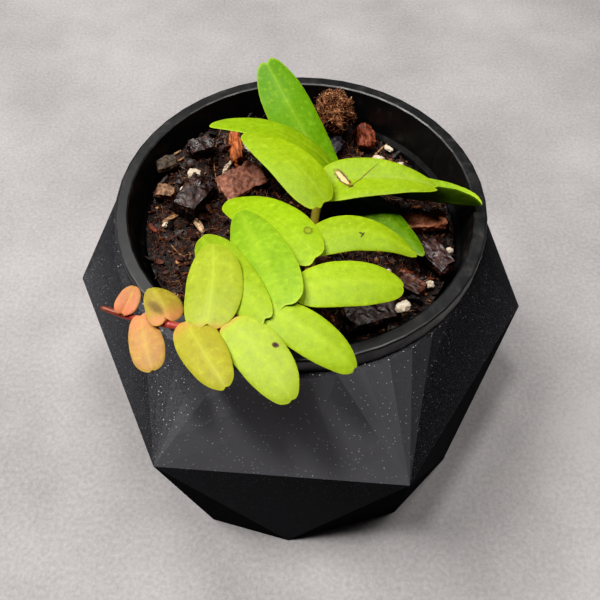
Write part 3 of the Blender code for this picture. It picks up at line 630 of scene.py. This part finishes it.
def leaf_outline(angle, notch, cleft, seed):
    """How far the blade reaches in each direction: an oval, blunter at its base, with a dent at each end."""
    n = np.where(np.cos(angle) > 0, LEAF_TIP_BLUNTNESS, LEAF_BASE_BLUNTNESS)
    reach = (np.abs(np.cos(angle)) ** n + np.abs(np.sin(angle)) ** n) ** (-1 / n)
    reach *= 1 - notch * np.exp(-((angle / LEAF_NOTCH_SPREAD) ** 2))
    reach *= 1 - cleft * np.exp(-(((math.pi - np.abs(angle)) / LEAF_CLEFT_SPREAD) ** 2))
    reach *= 1 + LEAF_EDGE_WAVE * np.sin(angle * 5 + seed) * np.sin(angle * 3 + seed * 2)
    return reach * (1 + LEAF_EDGE_RIPPLE * np.sin(angle * 31 + seed) * np.sin(angle * 17 - seed))


def leaf_mesh(name, route, lengths, seed):
    """A thick blade with rounded margins, a sunken rib above and a raised one below."""
    leaf, look = LEAVES[name], LEAF_LOOKS[name]
    base = np.array(point_along(route, lengths, leaf.at * MM))
    length, width = leaf.length * MM, leaf.width * MM
    along, across, out = (np.array(v) for v in leaf_axes(leaf.heading, leaf.pitch, leaf.roll))
    x, y, quads, rim = disc_grid(LEAF_STEPS)
    reach = np.minimum(np.hypot(x, y), 1.0)
    edge = leaf_outline(np.arctan2(y, x), look.notch, look.cleft, seed)
    u = (1 + x * edge) / 2
    beside = y * edge * (1 + leaf.egg * (1 - 2 * u)) * width / 2
    arch = length * (1 - (2 * u - 1) ** 2)
    left, right = LEAF_FOLDS.get(name, (leaf.fold, leaf.fold))
    angle = np.radians(np.where(beside > 0, left, right))
    level, raised = np.cos(angle), np.sin(angle)
    height = leaf.bow * arch + leaf.lift * MM + np.abs(beside) * raised
    place = base + np.outer((u - LEAF_LOBE) * length, along)
    place += np.outer(leaf.sweep * arch + beside * level, across)
    flat = np.stack([u * length, beside, np.zeros_like(u)], axis=1)
    (wave, wave_rise), (pucker, pucker_rise) = LEAF_WAVES
    height += wave_rise * noise_at(flat, wave, seed) + pucker_rise * noise_at(flat, pucker, seed + 5)
    thick = (LEAF_THICKNESS[0] + LEAF_THICKNESS[1] * (1 - reach**2)) * np.sqrt(1 - reach**LEAF_RIM_ROUNDING)
    fade = np.clip(1.15 - u, 0, 1) * np.clip((1 - reach) * 6, 0, 1)
    rib = np.exp(-((beside / (RIB_WIDTH * (1.3 - 0.7 * u))) ** 2)) * fade
    top = place + np.outer(height + thick / 2 - RIB_DEPTH * rib, out)
    bottom = place + np.outer(height - thick / 2 - 1.3 * RIB_DEPTH * rib, out)
    inner = np.flatnonzero(~rim)
    below = np.arange(len(x))
    below[inner] = len(x) + np.arange(len(inner))
    half_width = np.sqrt(np.maximum(1 - (2 * u - 1) ** 2, 0.04)) * width / 2
    across_share = np.clip(beside / half_width, -1, 1)

    def both(numbers):
        return np.concatenate([numbers, numbers[inner]])

    points = np.concatenate([top, bottom[inner]])
    faces = np.concatenate([quads, below[quads][:, ::-1]])
    upper = np.concatenate([np.where(rim, 0.5, 1.0), np.zeros(len(inner))])
    return mesh_from(
        name, points, faces, along=both(u), across=both(across_share), rim=both(reach), upper=upper,
        mm_along=both(u * length / MM), mm_across=both(beside / MM),
    )


def shaded(colour, factor):
    """A colour with less light."""
    return (*(channel * factor for channel in colour[:3]), 1.0)


def toward(colour, other, share):
    """A colour moved towards another."""
    return (*(a + (b - a) * share for a, b in zip(colour[:3], other[:3])), 1.0)


def leaf_material(name):
    """A fleshy blade, satin: finely mottled, with a faint rib, a painted rim highlight, a dull back and a
    pink base.
    """
    look = LEAF_LOOKS[name]
    blade, tip, base = rgb(*look.blade), rgb(*look.tip), rgb(*look.base)
    pale = toward(blade, rgb(206, 222, 70), 0.34)
    graph = Graph(
        f"{name}_skin", 0.5, Specular_IOR_Level=0.3, Subsurface_Weight=0.25, Subsurface_Scale=1.5 * MM,
    )
    graph.shader.inputs["Subsurface Radius"].default_value = (0.8, 1.0, 0.25)
    place = graph.place()
    along, across, rim = graph.attribute("along"), graph.attribute("across"), graph.attribute("rim")
    colour = graph.mix(graph.span(along, 0.05, 0.4), base, blade)
    colour = graph.mix(graph.span(along, 0.55, 1.0), colour, tip)
    patches = graph.noise(place, 150, 3, 0.6)
    colour = graph.mix(graph.span(patches, 0.35, 0.7, 0.0, 0.55), colour, shaded(blade, 0.84))
    mottle = graph.noise(place, 760, 4, 0.7)
    colour = graph.mix(graph.span(mottle, 0.5, 0.72, 0.0, 0.55), colour, pale)
    colour = graph.mix(graph.span(mottle, 0.5, 0.3, 0.0, 0.6), colour, shaded(blade, 0.72))
    away = graph.math("ABSOLUTE", across)
    line = graph.span(away, 0.0, 0.07, abs(look.rib), 0.0)
    colour = graph.mix(line, colour, pale if look.rib > 0 else shaded(blade, 0.55))
    broad = graph.span(away, 0.03, 0.32, 0.22 if look.rib > 0 else 0.1, 0.0)
    colour = graph.mix(broad, colour, pale)
    # Painted highlight: a pale line along the rim, where a thick margin catches light.
    colour = graph.mix(graph.span(rim, 0.955, 0.99, 0.0, 0.55), colour, pale)
    if look.blush:
        spread = graph.span(along, 0.0, look.blush + 0.04, 0.5, 0.0)
        colour = graph.mix(spread, colour, rgb(206, 118, 84))
    specks = graph.cells(place, 520)
    colour = graph.mix(graph.span(specks, 0.03, 0.09, 0.4, 0.0), colour, shaded(blade, 0.45))
    # Scars and spots, and on leaf_16 a painted shadow.
    for *oval, tone in LEAF_MARKS_AND_SHADOW.get(name, ()):
        colour = graph.mix(oval_mask(graph, *oval), colour, rgb(*tone))
    back = toward(shaded(blade, 0.7), rgb(112, 132, 36), 0.35)
    colour = graph.mix(graph.span(graph.attribute("upper"), 0.1, 0.45), back, colour)
    rough = graph.span(mottle, 0.3, 0.7, 0.5, 0.64)
    pores = graph.noise(place, 1500, 3, 0.6)
    return graph.finish(colour, rough, graph.bump(pores, 0.45, 0.1 * MM))


def oval_mask(graph, x, y, radius_x, radius_y, turn, blur):
    """1 inside a ragged oval on a leaf, placed in millimetres from its base and to its left."""
    wobble = graph.math("MULTIPLY", graph.math("SUBTRACT", graph.noise(graph.place(), 1500, 2), 0.5), 0.9)
    dx = graph.math("SUBTRACT", graph.attribute("mm_along"), x)
    dy = graph.math("SUBTRACT", graph.attribute("mm_across"), y)
    c, s = math.cos(math.radians(turn)), math.sin(math.radians(turn))
    ahead_x, ahead_y = graph.math("MULTIPLY", dx, c / radius_x), graph.math("MULTIPLY", dy, s / radius_x)
    aside_x, aside_y = graph.math("MULTIPLY", dx, s / radius_y), graph.math("MULTIPLY", dy, c / radius_y)
    ahead = graph.math("ADD", ahead_x, ahead_y)
    aside = graph.math("SUBTRACT", aside_y, aside_x)
    square = graph.math("ADD", graph.math("MULTIPLY", ahead, ahead), graph.math("MULTIPLY", aside, aside))
    distance = graph.math("ADD", graph.math("SQRT", square), wobble)
    return graph.span(distance, 1.0 - blur, 1.0 + blur, 1.0, 0.0)


def stem_material():
    """The stem's skin, from brown-green at its foot through green to red at its tip."""
    graph = Graph("stem_skin", 0.42, Subsurface_Weight=0.08, Subsurface_Scale=MM)
    place = graph.place()
    colour = graph.ramp(
        graph.attribute("along"),
        (
            (0.0, (70, 52, 26)), (0.3, (96, 90, 26)), (0.5, (112, 96, 30)),
            (0.72, (150, 96, 62)), (0.84, (160, 62, 52)), (0.93, (146, 44, 34)),
            (1.0, (118, 54, 28)),
        ),
    )
    blotches = graph.noise(place, 600, 3)
    colour = graph.mix(graph.span(blotches, 0.5, 0.75, 0.0, 0.25), colour, rgb(92, 40, 24))
    ridges = graph.noise(place, 1800, 2)
    return graph.finish(colour, None, graph.bump(ridges, 0.2, 0.06 * MM))


def stem_radius(distance, total):
    """The stem thins towards its tip and swells where leaves join it."""
    radius = STEM_RADIUS + (STEM_TIP_RADIUS - STEM_RADIUS) * (distance / total) ** 2
    for leaf in LEAVES.values():
        nearness = math.exp(-(((distance - leaf.at * MM) / NODE_LENGTH) ** 2))
        radius += NODE_SWELLING * nearness * (radius / STEM_RADIUS)
    return radius


def make_stalk(name, route, lengths):
    """A leaf's short stalk, as its vertices and faces."""
    leaf = LEAVES[name]
    along, _, out = leaf_axes(leaf.heading, leaf.pitch, leaf.roll)
    foot = point_along(route, lengths, leaf.at * MM)
    seat = foot + out * (leaf.lift * MM - STALK_SINK) + along * (STALK_REACH * leaf.length * MM)
    middle = foot.lerp(seat, 0.5) - along * STALK_SAG
    line = smooth_route([foot, middle, seat, seat + along * STALK_END], STALK_STEPS)
    thin = STALK_RADIUS * (YOUNG_STALK_THINNING if name in YOUNG_LEAVES else STALK_THINNING)
    stalk, sides, _ = sweep(line, [thin * (1.2 - 0.06 * k) for k in range(len(line))], STALK_SIDES)
    return stalk, sides


def make_stem(name, route, lengths, start, end, leaves, node, finish):
    """A length of stem and the stalks that carry its leaves."""
    total = lengths[-1]
    stops = [start, *(s for s in lengths if start + 0.1 * MM < s < end - 0.1 * MM), end]
    points = [point_along(route, lengths, s) for s in stops]
    radii = [stem_radius(s, total) for s in stops]
    if end == total:
        radii[-3:] = [radii[-3], radii[-3] * 0.85, radii[-3] * 0.5]
    vertices, faces, stations = sweep(points, radii, STEM_SIDES)
    parts = [(vertices, faces, [stops[k] / total for k in stations])]
    for leaf in leaves:
        stalk, sides = make_stalk(leaf, route, lengths)
        parts.append((stalk, sides, [LEAVES[leaf].at * MM / total] * len(stalk)))
    vertices, faces, along = join(parts)
    piece(name, mesh_from(name, vertices, faces, along=along), finish, node)


def make_shoot():
    """The stem in its two colours, and the leaves."""
    route = smooth_route([Vector(p) * MM for p in STEM_ROUTE], ROUTE_STEPS)
    lengths = lengths_along(route)
    skin = stem_material()
    old = [leaf for leaf in LEAVES if leaf not in YOUNG_LEAVES]
    make_stem("stem_old", route, lengths, 0.0, COLOUR_CHANGE + STEM_OVERLAP, old, "shoot_green", skin)
    make_stem("stem_young", route, lengths, COLOUR_CHANGE, lengths[-1], YOUNG_LEAVES, "shoot_young", skin)
    for seed, leaf in enumerate(LEAVES):
        node = "shoot_young" if leaf in YOUNG_LEAVES else "shoot_green"
        piece(leaf, leaf_mesh(leaf, route, lengths, seed), leaf_material(leaf), node)


# ---------------------------------------------------------------- potting mix


def mix_height(x, y, lumps=len(MIX_LUMPS)):
    """Height of the top of the mix at a place, with the given number of its lumps, coarse ones first."""
    height = MIX_LEVEL + MIX_SLOPE * x
    for centre_x, centre_y, spread, rise in MIX_MOUNDS:
        distance = math.hypot(x - centre_x * MM, y - centre_y * MM) / (spread * MM)
        height += rise * MM * math.exp(-distance * distance / 2)
    for number, (size, rise) in enumerate(MIX_LUMPS[:lumps]):
        height += rise * MM * noise.noise(Vector((x / (size * MM), y / (size * MM), number * 5)))
    return height


def mix_place(radius, angle):
    """X and Y of a place at a distance and a direction from the pot's axis."""
    return POT_CENTRE.x + radius * math.cos(angle), POT_CENTRE.y + radius * math.sin(angle)


def make_mix_surface():
    """The plug's top, finely lumpy, with a side and a floor to close it."""
    points, faces = [], []
    turns = [k * math.tau / MIX_STEPS for k in range(MIX_STEPS)]
    for ring in range(1, MIX_RINGS + 1):
        for turn in turns:
            x, y = mix_place(MIX_RADIUS * ring / MIX_RINGS, turn)
            points.append((x, y, mix_height(x, y)))
    points.extend((*mix_place(MIX_FOOT_RADIUS, turn), MIX_FOOT_LEVEL) for turn in turns)
    for ring in range(MIX_RINGS):
        for k in range(MIX_STEPS):
            here, after = ring * MIX_STEPS + k, ring * MIX_STEPS + (k + 1) % MIX_STEPS
            faces.append((here, here + MIX_STEPS, after + MIX_STEPS, after))
    points.append((POT_CENTRE.x, POT_CENTRE.y, mix_height(POT_CENTRE.x, POT_CENTRE.y)))
    faces.extend((len(points) - 1, k, (k + 1) % MIX_STEPS) for k in range(MIX_STEPS))
    faces.append(tuple(MIX_RINGS * MIX_STEPS + k for k in range(MIX_STEPS))[::-1])
    return mesh_from("mix", points, faces)


def mix_material():
    """Dark damp crumb with paler grains in it."""
    graph = Graph("mix_dark", 0.7)
    place = graph.place()
    crumbs = graph.noise(place, 900, 5, 0.65)
    bark = graph.noise(place, 260, 3, 0.6)
    browns = ((0.42, (6, 4, 4)), (0.54, (24, 13, 9)), (0.64, (62, 32, 20)), (0.76, (120, 70, 42)))
    colour = graph.ramp(crumbs, browns)
    colour = graph.mix(graph.span(bark, 0.5, 0.7, 0.0, 0.6), colour, rgb(32, 15, 10))
    wet = graph.span(graph.noise(place, 420, 2), 0.36, 0.52, 0.4, 0.85)
    return graph.finish(colour, wet, graph.bump(crumbs, 0.8, 0.4 * MM))


def scatter_place(draw, reach):
    """A random place on the mix."""
    radius = reach * math.sqrt(draw.random())
    return mix_place(radius, draw.uniform(0, math.tau))


def ball(subdivisions):
    """Points and triangles of a unit icosphere."""
    bm = bmesh.new()
    bmesh.ops.create_icosphere(bm, subdivisions=subdivisions, radius=1)
    points = np.array([tuple(v.co) for v in bm.verts])
    faces = np.array([[v.index for v in f.verts] for f in bm.faces])
    bm.free()
    return points, faces


def random_turn(draw):
    """A random rotation as a 3 by 3 array."""
    axis = Vector([draw.uniform(-1, 1) for _ in range(3)])
    return np.array(Matrix.Rotation(draw.uniform(0, math.tau), 3, axis))


def make_crumbs(name, count, sizes, flatness, sink, seed):
    """Many small lumps of mix, as one mesh. Tint is a random number for each lump."""
    draw = random.Random(seed)
    shape, sides = ball(1)
    points, faces, tints = [], [], []
    for number in range(count):
        x, y = scatter_place(draw, MIX_RADIUS)
        size = sizes[0] * (sizes[1] / sizes[0]) ** (draw.random() ** 2.2) * MM
        rough = np.array([draw.uniform(0.5, 1.25) for _ in range(len(shape))])
        stretch = np.array([draw.uniform(0.8, 1.5), draw.uniform(0.5, 0.9), flatness])
        lump = (shape * rough[:, None] * stretch) @ random_turn(draw).T * size
        top = mix_height(x, y) + size * (0.55 - sink)
        points.append(lump + (x, y, top))
        faces.append(sides + number * len(shape))
        tints.append(np.full(len(shape), draw.random()))
    points, faces, tints = (np.concatenate(rows) for rows in (points, faces, tints))
    return mesh_from(name, points, faces, smooth=False, tint=tints)


def crumb_material(name, stops):
    """Lumps and threads whose colour is drawn from the stops by their tint, damp in places."""
    graph = Graph(name, 0.8)
    place = graph.place()
    grain = graph.noise(place, 1400, 4, 0.6)
    colour = graph.ramp(graph.attribute("tint"), stops)
    colour = graph.mix(graph.span(grain, 0.36, 0.62, 0.8, 0.0), colour, rgb(10, 6, 6))
    wet = graph.span(graph.noise(place, 360, 2), 0.42, 0.6, 0.5, 0.85)
    return graph.finish(colour, wet, graph.bump(grain, 0.7, 0.2 * MM))


def make_fibres(name, count, seed):
    """Fine roots and threads that lie over the mix."""
    draw = random.Random(seed)
    parts = []
    for _ in range(count):
        x, y = scatter_place(draw, MIX_RADIUS * FIBRE_REACHES[0])
        heading, turn = draw.uniform(0, math.tau), draw.gauss(0, 0.26)
        length, radius = draw.uniform(*FIBRE_LENGTHS) * MM, draw.uniform(*FIBRE_RADII) * MM
        arch = draw.uniform(*FIBRE_ARCHES) * MM
        points = []
        for k in range(FIBRE_STEPS + 1):
            height = mix_height(x, y, MIX_LAID_LUMPS) + 0.1 * MM
            points.append(Vector((x, y, height + arch * math.sin(math.pi * k / FIBRE_STEPS))))
            heading += turn + draw.gauss(0, 0.1)
            x += math.cos(heading) * length / FIBRE_STEPS
            y += math.sin(heading) * length / FIBRE_STEPS
            if math.hypot(x - POT_CENTRE.x, y - POT_CENTRE.y) > MIX_RADIUS * FIBRE_REACHES[1]:
                break
        if len(points) < 4:
            continue
        radii = [radius * (1.1 - 0.6 * k / len(points)) for k in range(len(points))]
        tube, sides, _ = sweep(points, radii, 4)
        parts.append((tube, sides, [draw.random()] * len(tube)))
    vertices, faces, tints = join(parts)
    return mesh_from(name, vertices, faces, tint=tints)


def make_slivers():
    """The placed slivers, each a flat splinter with a bend and ragged ends."""
    draw = random.Random(11)
    parts = []
    for x0, y0, x1, y1, width, thick, tint in SLIVERS:
        start, end = Vector((x0, y0, 0)) * MM, Vector((x1, y1, 0)) * MM
        aside = (end - start).cross(UP).normalized()
        bend = draw.uniform(-0.12, 0.12) * (end - start).length
        shares = [k / SLIVER_STEPS for k in range(SLIVER_STEPS + 1)]
        points = [start.lerp(end, t) + aside * (bend * math.sin(math.pi * t)) for t in shares]
        floor = [mix_height(p.x, p.y, MIX_LAID_LUMPS) for p in points]
        base = max(floor) * 0.6 + min(floor) * 0.4
        for point, height in zip(points, floor):
            point.z = max(height, base) + thick * MM * 0.5
        swell = [0.45, 0.8, 1.0, draw.uniform(0.85, 1.1), draw.uniform(0.85, 1.1), 1.0, 0.9, 0.75, 0.4]
        tube, sides, stations = sweep(points, [w * width * MM / 2 for w in swell], 7)
        flat = thick / width
        tube = [p + UP * ((p.z - points[k].z) * (flat - 1)) for p, k in zip(tube, stations)]
        parts.append((tube, sides, [tint + draw.uniform(-0.02, 0.02)] * len(tube)))
    vertices, faces, tints = join(parts)
    return mesh_from("mix_slivers", vertices, faces, smooth=False, tint=tints)


def make_mix():
    """The mix, and all that is strewn on it."""
    fine = (
        (0.0, (10, 6, 5)), (0.45, (32, 17, 12)), (0.76, (74, 38, 24)), (0.93, (124, 74, 44)),
        (1.0, (188, 142, 98)),
    )
    coarse = (
        (0.0, (14, 8, 7)), (0.45, (38, 21, 16)), (0.75, (80, 40, 27)), (0.92, (126, 68, 40)),
        (1.0, (176, 120, 76)),
    )
    splinters = (
        (0.0, (30, 12, 8)), (0.2, (84, 26, 14)), (0.38, (132, 58, 28)), (0.6, (136, 92, 56)),
        (0.8, (176, 132, 80)), (0.9, (206, 172, 136)), (1.0, (232, 220, 200)),
    )
    threads = (
        (0.0, (48, 22, 14)), (0.5, (104, 52, 30)), (0.85, (154, 92, 52)), (1.0, (206, 166, 116)),
    )
    crumbs = make_crumbs("mix_crumbs", CRUMB_COUNT, CRUMB_SIZES, 0.6, 0.2, 3)
    bits = make_crumbs("mix_bits", BIT_COUNT, BIT_SIZES, 0.4, 0.1, 4)
    slivers = make_slivers()
    fibres = make_fibres("mix_fibres", FIBRE_COUNT, 5)
    piece("mix_surface", make_mix_surface(), mix_material(), "potting_mix")
    piece("mix_crumbs", crumbs, crumb_material("crumbs", fine), "potting_mix", replaces=False)
    piece("mix_bits", bits, crumb_material("bits", coarse), "potting_mix", replaces=False)
    piece("mix_slivers", slivers, crumb_material("splinters", splinters), "potting_mix", replaces=False)
    piece("mix_fibres", fibres, crumb_material("threads", threads), "potting_mix", replaces=False)


# ---------------------------------------------------------------- loose pieces


def refined(node, levels):
    """A finer copy of a CAD node's mesh, with the same shape."""
    bm = bmesh.new()
    bm.from_mesh(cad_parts[node].data)
    bmesh.ops.remove_doubles(bm, verts=bm.verts, dist=0.01 * MM)
    for _ in range(levels):
        bmesh.ops.subdivide_edges(bm, edges=bm.edges, cuts=1, use_grid_fill=True)
    bmesh.ops.triangulate(bm, faces=bm.faces)
    bmesh.ops.recalc_face_normals(bm, faces=bm.faces)
    bm.normal_update()
    return bm


def roughened(name, bm, lift):
    """The mesh with each point moved along its normal by lift(point), in millimetres."""
    moves = [vertex.normal * (lift(vertex.co) * MM) for vertex in bm.verts]
    for vertex, move in zip(bm.verts, moves):
        vertex.co += move
    mesh = bpy.data.meshes.new(name)
    bm.to_mesh(mesh)
    mesh.shade_smooth()
    return mesh


def long_axis(bm):
    """The direction in which a mesh is longest, and its middle."""
    points = np.array([tuple(v.co) for v in bm.verts])
    centred = points - points.mean(0)
    return Vector(np.linalg.svd(centred, full_matrices=False)[2][0]), Vector(points.mean(0))


def make_bark(node, seed, streak):
    """A flake of bark, split along its grain or crumbling, and its long axis."""
    bm = refined(node, 4)
    axis, centre = long_axis(bm)
    shift = Vector((seed * 3.1, seed, 0))

    def lift(point):
        run = (point - centre).dot(axis)
        section = point - centre - axis * run
        grain = section / (0.75 * MM) + axis * (run / (5.5 * MM)) + shift
        lump = point / (2.2 * MM) + shift
        crumb = point / (0.9 * MM) + shift
        split = 0.34 * noise.noise(grain) + 0.16 * noise.noise(grain * 2.3)
        broken = 0.3 * noise.noise(crumb) + 0.14 * noise.noise(crumb * 2.1)
        return split * streak + broken * (1 - streak) + 0.5 * noise.noise(lump)

    mesh = roughened(node, bm, lift)
    bm.free()
    return mesh, axis


def bark_material(node, axis, bark):
    """Bark, streaked along the chip where it is split wood and grainy where it is crust, wet in places."""
    graph = Graph(f"{node}_bark", 0.75)
    turned = graph.node("Mapping")
    graph.put(turned.inputs["Vector"], graph.node("TexCoord").outputs["Object"])
    graph.put(turned.inputs["Rotation"], tuple(axis.to_track_quat("X", "Z").inverted().to_euler()))
    stretched = graph.node("Mapping")
    graph.put(stretched.inputs["Vector"], turned.outputs["Vector"])
    graph.put(stretched.inputs["Scale"], (0.2, 1, 1))
    split = graph.noise(stretched.outputs["Vector"], 1100, 6, 0.68, 0.3)
    place = graph.place()
    grain = graph.blend(split, graph.noise(place, 800, 5, 0.7), bark.streak)
    pits = graph.noise(place, 420, 4, 0.6)
    colour = graph.ramp(grain, ((0.36, bark.dark), (0.5, bark.middle), (0.66, bark.pale)))
    colour = graph.mix(graph.span(pits, 0.5, 0.66, 0.0, 0.7), colour, rgb(*bark.dark))
    rough = graph.span(pits, 0.36, 0.6, 0.8, bark.wetness)
    return graph.finish(colour, rough, graph.bump(grain, 0.8, 0.25 * MM))


def make_perlite(node, seed):
    """A popped grain: rounded knobs with pits between them."""
    bm = refined(node, 2)
    shift = Vector((seed * 2.1, 0, seed))

    def lift(point):
        spot = point / (0.9 * MM) + shift
        return 0.22 * noise.noise(spot) + 0.10 * noise.noise(spot * 2.6)

    mesh = roughened(node, bm, lift)
    bm.free()
    return mesh


def perlite_material():
    """Dusty white grain, stained brown in its pits."""
    graph = Graph("perlite_grain", 0.8, Subsurface_Weight=0.1, Subsurface_Scale=0.8 * MM)
    place = graph.place()
    grain = graph.noise(place, 900, 4, 0.6)
    colour = graph.ramp(grain, ((0.3, (150, 128, 100)), (0.5, (196, 182, 160)), (0.72, (224, 214, 198))))
    pits = graph.cells(place, 1500)
    colour = graph.mix(graph.span(pits, 0.05, 0.2, 0.5, 0.0), colour, rgb(120, 96, 70))
    return graph.finish(colour, None, graph.bump(grain, 0.5, 0.15 * MM))


def make_coir():
    """The clump of coir: a lumpy core, and the short fibres that it bristles with."""
    bm = refined("coir_clump", 2)
    core = roughened("coir_core", bm, lambda point: 1.5 * noise.noise(point / (1.8 * MM)) - 0.3)
    draw = random.Random(21)
    bm.faces.ensure_lookup_table()
    parts = []
    low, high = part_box("coir_clump")
    for _ in range(COIR_FIBRE_COUNT):
        face = bm.faces[draw.randrange(len(bm.faces))]
        start = face.calc_center_median()
        if start.z < low.z + COIR_BARE_FOOT:
            continue
        ahead = (Vector([draw.gauss(0, 1) for _ in range(3)]) + face.normal * 0.15).normalized()
        bend = Vector([draw.gauss(0, 0.35) for _ in range(3)])
        length = draw.uniform(*COIR_FIBRE_LENGTHS) * MM
        points = [start - face.normal * 0.15 * MM]
        for k in range(4):
            points.append(points[-1] + (ahead + bend * k * 0.5).normalized() * (length / 4))
        if max(p.z for p in points) > high.z or max(p.y for p in points) > high.y:
            continue
        radii = [draw.uniform(*COIR_FIBRE_RADII) * MM] * len(points)
        tube, sides, _ = sweep(points, radii, 3)
        parts.append((tube, sides, [draw.random()] * len(tube)))
    bm.free()
    vertices, faces, tints = join(parts)
    return core, mesh_from("coir_fibres", vertices, faces, tint=tints)


def coir_material():
    """Dusty brown pith, speckled light and dark."""
    graph = Graph("coir_pith", 0.9)
    place = graph.place()
    grain = graph.noise(place, 1100, 5, 0.7)
    colour = graph.ramp(grain, ((0.36, (56, 30, 20)), (0.5, (126, 78, 50)), (0.66, (186, 130, 88))))
    return graph.finish(colour, None, graph.bump(grain, 0.9, 0.3 * MM))


def make_loose_pieces():
    """The bark, the perlite and the coir, each in its CAD node's place."""
    for seed, (node, kind) in enumerate(BARK_CHIPS.items()):
        mesh, axis = make_bark(node, seed, BARKS[kind].streak)
        piece(f"{node}_look", mesh, bark_material(node, axis, BARKS[kind]), node)
    white = perlite_material()
    for number in range(1, PERLITE_COUNT + 1):
        node = f"perlite_{number:02d}"
        piece(f"{node}_look", make_perlite(node, number), white, node)
    core, fibres = make_coir()
    brown = (
        (0.0, (86, 50, 32)), (0.4, (140, 88, 56)), (0.75, (180, 122, 80)), (1.0, (214, 166, 118)),
    )
    piece("coir_core", core, coir_material(), "coir_clump")
    piece("coir_fibres", fibres, crumb_material("coir_threads", brown), "coir_clump")


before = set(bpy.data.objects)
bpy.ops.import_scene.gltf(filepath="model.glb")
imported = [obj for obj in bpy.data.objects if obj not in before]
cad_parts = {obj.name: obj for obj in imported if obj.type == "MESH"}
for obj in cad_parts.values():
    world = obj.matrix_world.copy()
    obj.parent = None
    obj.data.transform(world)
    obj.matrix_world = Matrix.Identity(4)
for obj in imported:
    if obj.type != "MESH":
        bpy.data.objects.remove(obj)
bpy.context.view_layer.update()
make_camera()
make_light()
make_tone()
make_floor()
dress("planter", planter_material())
dress("nursery_pot", pot_material())
make_mix()
make_loose_pieces()
make_shoot()
